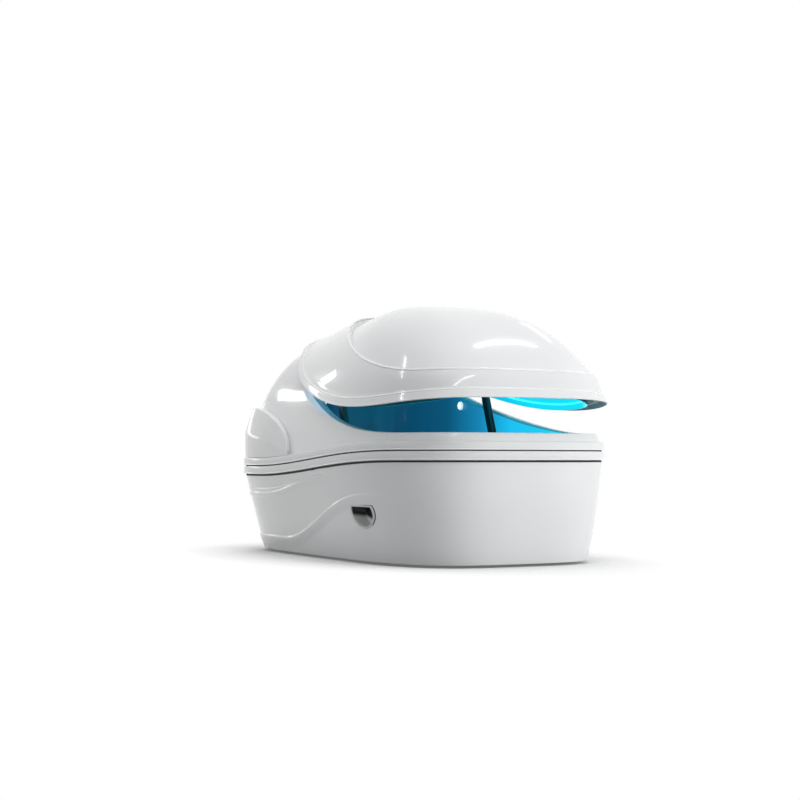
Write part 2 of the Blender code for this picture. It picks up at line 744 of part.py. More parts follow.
def lidShellRings():
    reach = [formRadius(t, LID_INSET, LID_RISE, lidEdgeHeight) for t in stations]
    edge = [formPoint(t, r, LID_INSET, LID_RISE) for t, r in zip(stations, reach)]
    sill = sillLoop(stations)
    rows = []
    for p, inward, s, across in zip(edge, inwardNormals(edge), sill, inwardNormals(sill)):
        rows.append(lidOuter(p, inward)[::-1] + lidInner(p, inward, s, across))
    crown = panelProud(lidPole, 0.0, 0.0)
    top = onForm(lidPole, LID_INSET - crown, LID_RISE + crown)
    under = onForm(lidPole, LID_INSET + SHELL, LID_RISE - SHELL)
    return [[top]] + ringsOf(rows) + [[under]]


finish("lid_shell", reposed(skin(lidShellRings()), ajar), WHITE, 0.12, pivot=lidHinge)


# seal under the lid's flange
def sealRings():
    sill = sillLoop(stations)
    rings = []
    for across, rise in ((0.001, 0.0022), (-0.005, 0.0070), (0.040, 0.0070), (0.034, 0.0022)):
        rings.append([s + m * across + up(SILL_ROUND + rise) for s, m in zip(sill, inwardNormals(sill))])
    return rings


finish("lid_seal", reposed(skin(sealRings(), wrap=True), ajar), (0.10, 0.10, 0.095), 0.8, pivot=lidHinge)


# lining inside the lid, and the light strip round it
def linerLoop():
    # the sill's outline drawn in along rays to the pole, further in at the rear to clear the hinge arms
    sill = sillLoop(sparse)
    loop = []
    for s, m in zip(sill, inwardNormals(sill)):
        rear = smooth((-0.12 - s.x) / 0.42) * smooth((0.46 - abs(s.y)) / 0.22)
        flat = Vector((s.x, s.y, 0.0))
        ray = (lidPole - flat).normalized()
        inset = LINER_INSET + 0.010 * smooth((-0.08 - s.x) / 0.14) + 0.19 * rear
        hang = smooth((0.95 - s.x) / 0.30) * smooth((s.x + 0.25) / 0.20)
        loop.append((flat + ray * (inset / max(0.6, ray.dot(m))), s.z + SILL_ROUND, hang))
    return loop


def linerRoof(q, share, drop):
    p = towardPole(q, share)
    return p + up(formHeight(p.x, p.y, LID_INSET, LID_RISE) - drop)


def linerRings():
    under = LINER_DROP + LINER_WALL * 1.4
    rows = []
    for q, sill, hang in linerLoop():
        foot = min(sill + 0.010 - LINER_HANG * hang, linerRoof(q, 1.0, LINER_DROP + 0.020).z)
        knee = min(sill + 0.055, linerRoof(q, 0.985, LINER_DROP).z)
        step = (lidPole - q).normalized() * LINER_WALL
        bend = towardPole(q, 0.985)
        outside = [q + up(foot), bend + up(knee)] + [linerRoof(q, w, LINER_DROP) for w in LINER_ROWS]
        inside = [q + step + up(foot), bend + step + up(knee - 0.003)]
        inside += [linerRoof(q, w, under) for w in LINER_ROWS]
        rows.append(outside[::-1] + inside)
    poles = [[linerRoof(lidPole, 1.0, drop)] for drop in (LINER_DROP, under)]
    return poles[:1] + ringsOf(rows) + poles[1:]


finish("lid_liner", reposed(skin(linerRings(), split=True), ajar), BLUE, 0.2, pivot=lidHinge)


def lightRings():
    rows = []
    for q, sill, hang in linerLoop():
        step = (lidPole - q).normalized()
        z = min(sill + 0.016, linerRoof(q, 1.0, LINER_DROP + 0.030).z)
        near = 0.0090 + 0.0015 * hang
        corners = ((near, -0.008), (near, 0.004), (near + 0.007, 0.004), (near + 0.007, -0.008))
        rows.append([q + step * across + up(z + rise) for across, rise in corners])
    return ringsOf(rows)


finish("lid_light_strip", reposed(skin(lightRings(), wrap=True), ajar), (0.35, 0.9, 1.0), 0.3, pivot=lidHinge)

# hinge: clevis on each upright, fixed pin, cranked arm bolted up inside the lid
ARM_PATH = ((0.0, 0.0), (0.08, -0.022), (0.185, -0.008), (0.258, 0.060), (0.268, 0.146))
ARM_HALF, ARM_EYE = 0.016, 0.019
PIN_PROFILE = ((0, 0), (0.013, 0), (0.013, 0.006), (0.008, 0.006), (0.008, 0.050), (0, 0.050))


def aboutHinge(radius, turns):
    return [(HINGE.x + radius * cos(a), HINGE.z + radius * sin(a)) for a in turns]


def armOutline():
    left, right = [], []
    for i, (x, z) in enumerate(ARM_PATH):
        before = Vector(ARM_PATH[max(0, i - 1)])
        after = Vector(ARM_PATH[min(len(ARM_PATH) - 1, i + 1)])
        along = (after - before).normalized() * ARM_HALF
        left.append((HINGE.x + x - along.y, HINGE.z + z + along.x))
        right.append((HINGE.x + x + along.y, HINGE.z + z - along.x))
    eye = aboutHinge(ARM_EYE, (pi * 0.62, pi * 0.85, pi, pi * 1.15, pi * 1.35))
    return right[1:] + left[:0:-1] + eye


CHEEK = [(HINGE.x - 0.0265, 0.906), (HINGE.x + 0.0265, 0.906), (HINGE.x + 0.0255, 0.950)]
CHEEK += aboutHinge(0.0255, (0.35, 0.9, pi / 2, pi - 0.9, pi - 0.35)) + [(HINGE.x - 0.0255, 0.950)]
for side, label in SIDES:
    y = side * HINGE_Y
    foot = block((HINGE.x - 0.028, y - 0.026, 0.9008), (HINGE.x + 0.028, y + 0.026, 0.912))
    clevis = finish("hinge_bracket_" + label, foot, STEEL, 0.4, 0.8)
    for face in (-1, 1):
        combine(clevis, plate(CHEEK, y + face * 0.0095, y + face * 0.0185), "UNION")
    combine(clevis, plate(disc((HINGE.x, HINGE.z), 0.0085), y - 0.05, y + 0.05), "DIFFERENCE")
    start = (HINGE.x, y - side * 0.0255, HINGE.z)
    turned("hinge_pin_" + label, PIN_PROFILE, start, (0, side, 0), STEEL, 0.3, 1.0, steps=20)
    crank = reposed(plate(armOutline(), y - 0.007, y + 0.007), ajar)
    arm = finish("hinge_arm_" + label, crank, BLACK, 0.5, pivot=lidHinge)
    low = (HINGE.x + 0.236, y - 0.028, HINGE.z + 0.1385)
    high = (HINGE.x + 0.300, y + 0.028, HINGE.z + 0.1475)
    combine(arm, reposed(block(low, high), ajar), "UNION")
    combine(arm, plate(disc((HINGE.x, HINGE.z), 0.0087), y - 0.05, y + 0.05), "DIFFERENCE")

# gas struts: oval shrouded cylinder hung from the lid, rod running down to a clevis in the tub
strutWay = (STRUT_FOOT - STRUT_TOP).normalized()
strutLength = (STRUT_FOOT - STRUT_TOP).length
SHROUD = ((0.008, 0.008, 0.008), (0.030, STRUT_LONG, STRUT_SHORT), (0.414, STRUT_LONG, STRUT_SHORT),
          (0.430, STRUT_LONG - 0.004, STRUT_SHORT - 0.0015))
BORE_END = 0.036
ROD_PROFILE = ((0, -0.500), (ROD_RADIUS, -0.500), (ROD_RADIUS, -0.006), (0, -0.006))
STUB_PROFILE = ((0, 0), (0.0042, 0), (0.0042, 0.036), (0, 0.036))
HANGER = ((-0.034, 0.1000), (-0.022, -0.012), (0.0, -0.020), (0.022, -0.012), (0.034, 0.1272))
FOOT_CHEEK = ((-0.050, -0.058), (0.050, -0.058), (0.040, 0.022), (0.022, 0.034), (-0.022, 0.034),
              (-0.040, 0.022))


def strutPoint(along, y):
    return STRUT_TOP + strutWay * along + Vector((0.0, y, 0.0))


def strutRing(along, y, long, short, side, count=16):
    # an oval across the strut, its long axis turned out of the plane it swings in
    flat = Vector((cos(STRUT_TURN), side * sin(STRUT_TURN), 0.0))
    first = (flat - strutWay * flat.dot(strutWay)).normalized()
    second = strutWay.cross(first)
    turns = [2 * pi * i / count for i in range(count)]
    return [strutPoint(along, y) + first * long * cos(a) + second * short * sin(a) for a in turns]


def shroudRings(y, side):
    outside = [strutRing(along, y, long, short, side) for along, long, short in SHROUD]
    bore = [strutRing(along, y, STRUT_BORE, STRUT_BORE, side) for along in (SHROUD[-1][0], BORE_END)]
    return [[strutPoint(SHROUD[0][0], y)]] + outside + bore + [[strutPoint(BORE_END, y)]]


def eye(along, radius, y, half):
    p = strutPoint(along, y)
    return plate(disc((p.x, p.z), radius, 20), y - half, y + half)


def shifted(outline, place):
    return [(place.x + x, place.z + z) for x, z in outline]


for side, label in SIDES:
    y = side * STRUT_Y
    pivot = pivotAt("strut_pivot_" + label, strutPoint(0, y), lidHinge)
    cylinder = finish("strut_cylinder_" + label, skin(shroudRings(y, side)), BLACK, 0.35, pivot=pivot)
    combine(cylinder, eye(0.0, 0.013, y, 0.006), "UNION")
    combine(cylinder, eye(0.0, 0.0047, y, 0.03), "DIFFERENCE")
    rod = turned("strut_rod_" + label, ROD_PROFILE, strutPoint(strutLength, y), strutWay,
                 (0.35, 0.36, 0.38), 0.2, 1.0, steps=14, pivot=pivot)
    combine(rod, eye(strutLength, 0.011, y, 0.0055), "UNION")
    inner = y - side * 0.0225
    hanger = plate(shifted(HANGER, STRUT_TOP), inner - side * 0.005, inner)
    upper = finish("strut_upper_bracket_" + label, hanger, STEEL, 0.4, 0.8, pivot=lidHinge)
    start = (STRUT_TOP.x, inner - side * 0.002, STRUT_TOP.z)
    stub = turned("strut_stub_" + label, STUB_PROFILE, start, (0, side, 0), STEEL, collection=cutters)
    combine(upper, stub, "UNION")
    reach = sorted((y - side * 0.020, y + side * 0.018))
    low = (STRUT_FOOT.x - 0.055, reach[0], STRUT_FOOT.z - 0.062)
    high = (STRUT_FOOT.x + 0.055, reach[1], STRUT_FOOT.z - 0.054)
    lower = finish("strut_lower_bracket_" + label, block(low, high), STEEL, 0.4, 0.8)
    for face in (-1, 1):
        cheek = shifted(FOOT_CHEEK, STRUT_FOOT)
        combine(lower, plate(cheek, y + face * 0.0095, y + face * 0.0145), "UNION")


# round lamps let on to the tub walls
def ringAt(ring, x):
    # the point of a ring on the far side at a given x
    for a, b in zip(ring, ring[1:] + ring[:1]):
        if a.y > 0.2 and b.y > 0.2 and min(a.x, b.x) <= x <= max(a.x, b.x) and abs(a.x - b.x) > 1e-9:
            share = (x - a.x) / (b.x - a.x)
            return a + (b - a) * share


def tubWallY(x, z):
    scale, height = tubWalls[-1]
    low, high = ringAt(tubRing(scale, 0.0, height), x), ringAt(tubRing(1.0, 0.0), x)
    return low.y + (high.y - low.y) * (z - low.z) / (high.z - low.z)


BEZEL_PROFILE = ((0.0165, 0), (LAMP_RADIUS, 0), (LAMP_RADIUS, 0.005), (0.0200, 0.009), (0.0165, 0.009))
LENS_PROFILE = ((0, 0.001), (0.0160, 0.001), (0.0160, 0.008), (0.0110, 0.0105), (0, 0.0115))
corners = [(LAMP_X + a * LAMP_RADIUS, LAMP_Z + b * LAMP_RADIUS) for a in (-1, 0, 1) for b in (-1, 0, 1)]
lampY = min(tubWallY(x, z) for x, z in corners) - 0.0008
for side, label in SIDES:
    start = (LAMP_X, side * lampY, LAMP_Z)
    inward = (0, -side, 0)
    turned("lamp_bezel_" + label, BEZEL_PROFILE, start, inward, WHITE, 0.25, steps=18, closed=True)
    turned("lamp_lens_" + label, LENS_PROFILE, start, inward, (0.95, 0.98, 1.0), 0.1, steps=18)

# steam equipment in the closed rear bay
BOILER_PROFILE = ((0, 0), (0.060, 0.006), (0.092, 0.030), (0.100, 0.060), (0.100, 0.200), (0.092, 0.230),
                  (0.060, 0.254), (0, 0.260))
turned("steam_boiler", BOILER_PROFILE, (-0.815, -0.130, 0.235), (0, 1, 0), STEEL, 0.3, 0.9, steps=20)
tank = block((-0.86, 0.205, 0.085), (-0.66, 0.365, 0.31))
soften(finish("water_tank", tank, (0.72, 0.76, 0.80), 0.4), 0.012, 2)
box = block((-0.86, -0.365, 0.085), (-0.66, -0.205, 0.25))
soften(finish("control_box", box, (0.15, 0.16, 0.17), 0.6), 0.006, 1)

# steam pipe: up out of the boiler, one bend, then forward to the nozzle
PIPE_RADIUS, PIPE_BEND = 0.014, 0.050
PIPE_FROM, PIPE_LEVEL, PIPE_TO = Vector((-0.815, 0.0, 0.3365)), 0.437, -0.600
pipe = bpy.data.curves.new("steam_pipe", "CURVE")
pipe.dimensions = "3D"
pipe.bevel_depth = PIPE_RADIUS
pipe.bevel_resolution = 2
pipe.use_fill_caps = True
pipePath = [PIPE_FROM]
for i in range(6):
    a = pi * i / 10
    rise = PIPE_LEVEL - PIPE_BEND * (1 - sin(a))
    pipePath.append(Vector((PIPE_FROM.x + PIPE_BEND * (1 - cos(a)), 0.0, rise)))
pipePath.append(Vector((PIPE_TO, 0.0, PIPE_LEVEL)))
spline = pipe.splines.new("POLY")
spline.points.add(len(pipePath) - 1)
for point, p in zip(spline.points, pipePath):
    point.co = (*(p + CENTRING), 1.0)
paint(pipe, "steam_pipe", STEEL, 0.3, 0.9)
addObject("steam_pipe", pipe, None, parts)

# steam nozzle on the tub's rear wall, and the drain under its floor
NOZZLE_PROFILE = ((0, 0), (0.030, 0), (0.030, 0.006), (0.018, 0.014), (0.018, 0.030), (0.010, 0.036),
                  (0, 0.036))
DRAIN_PROFILE = ((0, 0), (0.016, 0), (0.016, 0.045), (0.034, 0.050), (0.034, 0.058), (0, 0.058))
tubRear = min(p.x for p in tubRing(tubWalls[-1][0], 0.0, tubWalls[-1][1]))
start = (tubRear + 0.014, 0, PIPE_LEVEL)
turned("steam_nozzle", NOZZLE_PROFILE, start, (1, 0, 0), (0.7, 0.72, 0.74), 0.25, 0.6)
turned("drain_fitting", DRAIN_PROFILE, (0.45, 0, 0.1245), (0, 0, 1), BLACK, 0.5)
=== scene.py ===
# Steam sauna capsule: white gelcoat shells round a blue tub with painted glow, dressed on the imported frame.
import json
from math import cos, pi, radians, sin
import bmesh
import bpy
import numpy as np
from mathutils import Matrix, Vector


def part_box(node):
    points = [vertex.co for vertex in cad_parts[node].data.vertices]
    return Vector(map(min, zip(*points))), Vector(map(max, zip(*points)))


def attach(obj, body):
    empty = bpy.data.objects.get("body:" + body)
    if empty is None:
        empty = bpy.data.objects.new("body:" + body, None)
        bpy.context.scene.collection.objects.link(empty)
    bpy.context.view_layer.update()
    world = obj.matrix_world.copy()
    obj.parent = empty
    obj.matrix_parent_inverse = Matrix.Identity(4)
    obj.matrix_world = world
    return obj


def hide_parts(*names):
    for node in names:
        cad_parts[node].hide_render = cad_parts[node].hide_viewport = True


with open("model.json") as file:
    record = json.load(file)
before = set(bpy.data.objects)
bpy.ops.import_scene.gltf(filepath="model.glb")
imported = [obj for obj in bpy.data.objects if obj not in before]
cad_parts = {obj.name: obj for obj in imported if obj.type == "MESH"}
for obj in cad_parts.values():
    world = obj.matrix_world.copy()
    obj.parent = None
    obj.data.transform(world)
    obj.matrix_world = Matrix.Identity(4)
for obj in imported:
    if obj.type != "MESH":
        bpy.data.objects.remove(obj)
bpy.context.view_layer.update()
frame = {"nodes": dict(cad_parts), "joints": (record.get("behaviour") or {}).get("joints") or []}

skirtLow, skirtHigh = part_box("base_skirt")
hinge = next(j for j in frame["joints"] if j["name"] == "lid_hinge")

# the plan and the domed form that every shell shares, drawn about the middle of the rim
form = {
    "centreX": (skirtLow.x + skirtHigh.x) / 2,
    "halfLength": (skirtHigh.x - skirtLow.x) / 2,
    "halfWidth": 0.60,
    "egg": 0.12,  # wider towards the front
    "frontPower": 3.7,
    "rearPower": 5.3,
    "floorLength": 1.026,
    "floorWidth": 0.508,
    "floorShift": 0.039,
    "rimBottom": 0.480,
    "groove": 0.524,
    "bandTop": 0.565,
    "rearDip": 0.072,
    "dipFrom": -0.61,
    "dipTo": 0.88,
    "apexX": -0.317,
    "curveFront": 3.46,
    "curveSide": 2.98,
    "curveRear": 4.33,
    "curveRatio": 0.382,
    "sill": 0.604,
    "sweepFrom": 0.88,
    "sweep": 0.192,
    "archFrom": -0.20,
    "arch": 0.538,
    "cornerShare": 0.30,
}
hood = {
    "inset": 0.020,
    "rise": 0.554,
    "shell": 0.009,
    "sillFace": 0.035,
    "sillRound": 0.004,
    "chamfer": 0.030,  # cut off the sill's outer edge, fading out both ways
    "chamferRear": -0.62,
    "chamferRise": 0.25,
    "chamferFront": -0.15,
    "chamferFade": 0.50,
    "bandDeep": 0.034,
}
lid = {
    "inset": -0.003,
    "rise": 0.574,
    "shell": 0.009,
    "overlapBack": 0.030,
    "overlapDrop": 0.015,
    "poleX": 0.35,
    "ajar": 0.094,
    "hinge": Vector(hinge["pos_m"]),
    "lipProud": 0.004,
    "lipHeight": 0.040,
    "lipFade": 0.006,
    "shoulderSide": 0.015,
    "shoulderFront": 0.018,
    "shoulderFade": 0.8,
    "stepRear": 0.016,
    "stepFront": 0.007,
    "crownRear": -0.026,
    "crownFront": 0.024,
    "panelFront": 0.689,
    "panelFrom": 0.919,
    "panelSweep": 0.4286,
    "panelPower": 1.503,
    "panelEdge": 0.965,
    "seat": 0.0075,  # gap above the sill, which the seal fills
    "rubberRows": 5,
}


# small maths
def smooth(value):
    value = np.clip(value, 0.0, 1.0)
    return value * value * (3.0 - 2.0 * value)


def superellipse(t, halfLength, halfWidth):
    c, s = np.cos(t), np.sin(t)
    power = 2.0 / np.where(c > 0, form["frontPower"], form["rearPower"])
    x = np.sign(c) * np.abs(c) ** power * halfLength
    y = np.sign(s) * np.abs(s) ** power * halfWidth * (1.0 + form["egg"] * x / halfLength)
    return x, y


def planXY(t, inset=0.0):
    return superellipse(t, form["halfLength"] - inset, form["halfWidth"] - inset)


def floorXY(t):
    x, y = superellipse(t, form["floorLength"], form["floorWidth"])
    return x + form["floorShift"], y


def roundStations(count, begin=0.0, end=2 * pi, dense=6000):
    # angles round the plan, closer together where it bends
    t = np.linspace(begin, end, dense + 1)
    x, y = planXY(t)
    dx, dy = np.diff(x), np.diff(y)
    heading = np.unwrap(np.arctan2(dy, dx))
    bend = np.abs(np.diff(heading, prepend=heading[0]))
    run = np.concatenate([[0.0], np.cumsum(np.hypot(dx, dy) + form["cornerShare"] * bend)])
    return np.interp(np.arange(count) / count * run[-1], run, t)


def dip(x):
    share = smooth((x - form["dipFrom"]) / (form["dipTo"] - form["dipFrom"]))
    return -form["rearDip"] * (1.0 - share)


def sillHeight(x):
    sweep = form["sweep"] * np.maximum(0.0, form["sweepFrom"] - x) ** 2
    return form["sill"] + sweep + form["arch"] * np.maximum(0.0, form["archFrom"] - x) ** 2


def lidEdgeHeight(x):
    return sillHeight(x + lid["overlapBack"]) - lid["overlapDrop"]


def panelHeight(x):
    return lid["panelFront"] + lid["panelSweep"] * np.maximum(0.0, lid["panelFrom"] - x) ** lid["panelPower"]


def points(x, y, z):
    x, y, z = np.broadcast_arrays(x, y, z)
    return np.stack([x, y, z], axis=-1).astype(float)


def formPoint(t, r, inset, rise):
    ox, oy = planXY(t, inset)
    c = np.cos(t)
    curve = form["curveSide"] + (form["curveFront"] - form["curveSide"]) * np.maximum(c, 0.0) ** 2
    curve = curve + (form["curveRear"] - form["curveSide"]) * np.maximum(-c, 0.0) ** 2
    lift = rise * np.maximum(0.0, 1.0 - r ** curve) ** (1.0 / (curve * form["curveRatio"]))
    apex = form["apexX"]
    return points(apex + (ox - apex) * r, oy * r, form["bandTop"] + dip(ox) * r * r + lift)


def formRadius(t, inset, rise, level):
    low, high = np.zeros_like(t), np.ones_like(t)
    for _ in range(36):
        middle = 0.5 * (low + high)
        p = formPoint(t, middle, inset, rise)
        above = p[:, 2] > level(p[:, 0])
        low, high = np.where(above, middle, low), np.where(above, high, middle)
    return low


def formHeight(x, y, inset, rise):
    aim = np.arctan2(np.abs(y), x - form["apexX"])
    low, high = np.zeros_like(aim), np.full_like(aim, pi)
    for _ in range(36):
        middle = 0.5 * (low + high)
        ox, oy = planXY(middle, inset)
        short = np.arctan2(oy, ox - form["apexX"]) < aim
        low, high = np.where(short, middle, low), np.where(short, high, middle)
    ox, oy = planXY(low, inset)
    r = np.minimum(1.0, np.hypot(x - form["apexX"], y) / np.hypot(ox - form["apexX"], oy))
    return formPoint(low, r, inset, rise)[..., 2]


def onForm(q, inset, rise):
    return points(q[:, 0], q[:, 1], formHeight(q[:, 0], q[:, 1], inset, rise))


def inwardNormals(loop):
    along = np.roll(loop, -1, axis=0) - np.roll(loop, 1, axis=0)
    normal = np.stack([-along[:, 1], along[:, 0], np.zeros(len(loop))], axis=-1)
    return normal / np.linalg.norm(normal, axis=1, keepdims=True)


def planNormals(t):
    ax, ay = planXY(t - 0.002)
    bx, by = planXY(t + 0.002)
    length = np.hypot(by - ay, ax - bx)
    return points((by - ay) / length, (ax - bx) / length, 0.0)


def swingAjar(p):
    # the lid is drawn shut and then swung about its hinge to the ajar rest pose
    c, s = cos(lid["ajar"]), sin(lid["ajar"])
    hx, hz = lid["hinge"].x - form["centreX"], lid["hinge"].z
    dx, dz = p[..., 0] - hx, p[..., 2] - hz
    return np.stack([hx + dx * c - dz * s, p[..., 1], hz + dx * s + dz * c], axis=-1)


# making meshes
def link(name, data):
    obj = bpy.data.objects.new(name, data)
    bpy.context.scene.collection.objects.link(obj)
    return obj


def smoothen(mesh, angle=35):
    mesh.shade_smooth()
    mesh.set_sharp_from_angle(angle=radians(angle))


def meshObject(name, verts, faces, angle=35, marks=None):
    bm = bmesh.new()
    layer = bm.verts.layers.float.new("mark") if marks is not None else None
    made = [bm.verts.new((v[0] + form["centreX"], v[1], v[2])) for v in verts]
    if layer:
        for vert, mark in zip(made, marks):
            vert[layer] = mark
    for face in faces:
        bm.faces.new([made[i] for i in face])
    bmesh.ops.remove_doubles(bm, verts=bm.verts, dist=1e-7)
    bmesh.ops.recalc_face_normals(bm, faces=bm.faces)
    mesh = bpy.data.meshes.new(name)
    bm.to_mesh(mesh)
    bm.free()
    smoothen(mesh, angle)
    return link(name, mesh)


def loft(name, rings, wrap=False, poles=(None, None), angle=35, marks=None):
    # marks: one number for each ring, kept on the mesh for its material
    rings = np.asarray(rings, float)
    rows, count = rings.shape[:2]
    verts = [tuple(p) for p in rings.reshape(-1, 3)]
    numbers = None if marks is None else [m for m in marks for _ in range(count)]
    faces = []
    for a in range(rows if wrap else rows - 1):
        b = (a + 1) % rows
        for j in range(count):
            k = (j + 1) % count
            faces.append((a * count + j, a * count + k, b * count + k, b * count + j))
    for pole, row in zip(poles, (0, rows - 1)):
        if pole is None:
            continue
        verts.append(tuple(pole))
        if numbers:
            numbers.append(marks[row])
        for j in range(count):
            faces.append((row * count + j, row * count + (j + 1) % count, len(verts) - 1))
    return meshObject(name, verts, faces, angle, numbers)


def turned(name, profile, start, toward, steps=48):
    a = np.arange(steps) * 2 * pi / steps
    rings = [points(max(r, 1e-5) * np.cos(a), max(r, 1e-5) * np.sin(a), h) for r, h in profile]
    turn = np.array(Vector((0, 0, 1)).rotation_difference(Vector(toward)).to_matrix())
    rings = [ring @ turn.T + np.array(start) for ring in rings]
    ends = [turn @ np.array((0, 0, h)) + np.array(start) for h in (profile[0][1], profile[-1][1])]
    return loft(name, rings, poles=ends)


def plainMesh(obj):
    # the evaluated shape as a plain mesh on an object at the origin
    bpy.context.view_layer.update()
    graph = bpy.context.evaluated_depsgraph_get()
    mesh = bpy.data.meshes.new_from_object(obj.evaluated_get(graph), depsgraph=graph)
    mesh.transform(obj.matrix_world)
    name = obj.name
    bpy.data.objects.remove(obj, do_unlink=True)
    return link(name, mesh)


def cutAway(obj, cutter):
    boolean = obj.modifiers.new("cut", "BOOLEAN")
    boolean.object = cutter
    boolean.solver = "EXACT"
    made = plainMesh(obj)
    bpy.data.objects.remove(cutter, do_unlink=True)
    return made


def dress(obj, material, body, replaced=()):
    obj.data.materials.clear()
    obj.data.materials.append(material)
    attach(obj, body)
    if replaced:
        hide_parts(*replaced)
    return obj


# shader node groups and materials
def newGroup(name, inputs, outputs):
    group = bpy.data.node_groups.new(name, "ShaderNodeTree")
    for label, kind, value in inputs:
        socket = group.interface.new_socket(label, in_out="INPUT", socket_type=kind)
        socket.default_value = value
    for label, kind in outputs:
        group.interface.new_socket(label, in_out="OUTPUT", socket_type=kind)
    entry = group.nodes.new("NodeGroupInput")
    leave = group.nodes.new("NodeGroupOutput")
    return group, entry, leave


def addNode(tree, kind, links=(), **values):
    node = tree.nodes.new(kind)
    for key, value in values.items():
        setattr(node, key, value)
    for socket, source in links:
        if isinstance(source, bpy.types.NodeSocket):
            tree.links.new(source, node.inputs[socket])
        else:
            node.inputs[socket].default_value = source
    return node


def compute(tree, operation, *sources):
    return addNode(tree, "ShaderNodeMath", tuple(enumerate(sources)), operation=operation).outputs[0]


def remap(tree, source, low, high, toLow, toHigh, soft=False):
    links = (("Value", source), ("From Min", low), ("From Max", high), ("To Min", toLow), ("To Max", toHigh))
    kind = "SMOOTHSTEP" if soft else "LINEAR"
    return addNode(tree, "ShaderNodeMapRange", links, interpolation_type=kind).outputs["Result"]


def mixColour(tree, share, first, second):
    node = addNode(tree, "ShaderNodeMix", data_type="RGBA")
    for socket, source in zip([s for s in node.inputs if s.enabled], (share, first, second)):
        if isinstance(source, bpy.types.NodeSocket):
            tree.links.new(source, socket)
        else:
            socket.default_value = source
    return next(s for s in node.outputs if s.enabled)


def scaleColour(tree, colour, scale):
    node = addNode(tree, "ShaderNodeVectorMath", ((0, colour),), operation="SCALE")
    tree.links.new(scale, node.inputs["Scale"])
    return node.outputs[0]


def mottleGroup():
    # slow drift in tone plus a fine ripple, as any moulded or painted skin has
    group, entry, leave = newGroup("skinMottle", [
        ("Tone", "NodeSocketColor", (0.8, 0.8, 0.8, 1)),
        ("Drift", "NodeSocketFloat", 0.03),
        ("Drift Scale", "NodeSocketFloat", 3.0),
        ("Rough", "NodeSocketFloat", 0.2),
        ("Rough Drift", "NodeSocketFloat", 0.05),
        ("Ripple Scale", "NodeSocketFloat", 90.0),
    ], [("Colour", "NodeSocketColor"), ("Roughness", "NodeSocketFloat"), ("Ripple", "NodeSocketFloat")])
    where = addNode(group, "ShaderNodeTexCoord").outputs["Object"]
    slowLinks = (("Vector", where), ("Scale", entry.outputs["Drift Scale"]), ("Detail", 3.0))
    fineLinks = (("Vector", where), ("Scale", entry.outputs["Ripple Scale"]), ("Detail", 2.0))
    slow = addNode(group, "ShaderNodeTexNoise", slowLinks)
    fine = addNode(group, "ShaderNodeTexNoise", fineLinks)
    sway = compute(group, "SUBTRACT", slow.outputs["Fac"], 0.5)
    gain = compute(group, "MULTIPLY_ADD", sway, entry.outputs["Drift"], 1.0)
    colour = scaleColour(group, entry.outputs["Tone"], gain)
    rub = compute(group, "MULTIPLY_ADD", sway, entry.outputs["Rough Drift"], entry.outputs["Rough"])
    group.links.new(colour, leave.inputs["Colour"])
    group.links.new(rub, leave.inputs["Roughness"])
    group.links.new(fine.outputs["Fac"], leave.inputs["Ripple"])
    return group


def fadeGroup():
    # shares from 0 to 1 along the pod and across it, in the piece's own space
    group, entry, leave = newGroup("fadeAlong", [
        ("Start", "NodeSocketFloat", 0.0),
        ("End", "NodeSocketFloat", 1.0),
        ("Near", "NodeSocketFloat", -0.5),
        ("Far", "NodeSocketFloat", 0.5),
    ], [("Share", "NodeSocketFloat"), ("Across", "NodeSocketFloat"), ("Height", "NodeSocketFloat")])
    where = addNode(group, "ShaderNodeTexCoord").outputs["Object"]
    parts = addNode(group, "ShaderNodeSeparateXYZ", (("Vector", where),))
    share = remap(group, parts.outputs["X"], entry.outputs["Start"], entry.outputs["End"], 0.0, 1.0)
    across = remap(group, parts.outputs["Y"], entry.outputs["Near"], entry.outputs["Far"], 0.0, 1.0, True)
    group.links.new(share, leave.inputs["Share"])
    group.links.new(across, leave.inputs["Across"])
    group.links.new(parts.outputs["Z"], leave.inputs["Height"])
    return group


skinMottle = mottleGroup()
fadeAlong = fadeGroup()


def startMaterial(name):
    material = bpy.data.materials.new(name)
    material.use_nodes = True
    return material, material.node_tree, material.node_tree.nodes["Principled BSDF"]


def finish(name, colour, rough, drift=0.04, driftScale=3.0, roughDrift=0.06, rippleScale=90.0, ripple=0.02,
           rippleDepth=0.0004, metallic=0.0, coat=0.0, coatRough=0.03, specular=0.5):
    material, tree, shader = startMaterial(name)
    skin = addNode(tree, "ShaderNodeGroup", node_tree=skinMottle)
    values = {
        "Tone": (*colour, 1),
        "Drift": drift,
        "Drift Scale": driftScale,
        "Rough": rough,
        "Rough Drift": roughDrift,
        "Ripple Scale": rippleScale,
    }
    for socket, value in values.items():
        skin.inputs[socket].default_value = value
    tree.links.new(skin.outputs["Colour"], shader.inputs["Base Color"])
    tree.links.new(skin.outputs["Roughness"], shader.inputs["Roughness"])
    heights = (("Strength", ripple), ("Distance", rippleDepth), ("Height", skin.outputs["Ripple"]))
    bump = addNode(tree, "ShaderNodeBump", heights)
    tree.links.new(bump.outputs["Normal"], shader.inputs["Normal"])
    shader.inputs["Metallic"].default_value = metallic
    shader.inputs["Coat Weight"].default_value = coat
    shader.inputs["Coat Roughness"].default_value = coatRough
    shader.inputs["Specular IOR Level"].default_value = specular
    return material


def markOf(tree):
    return addNode(tree, "ShaderNodeAttribute", attribute_name="mark").outputs["Fac"]


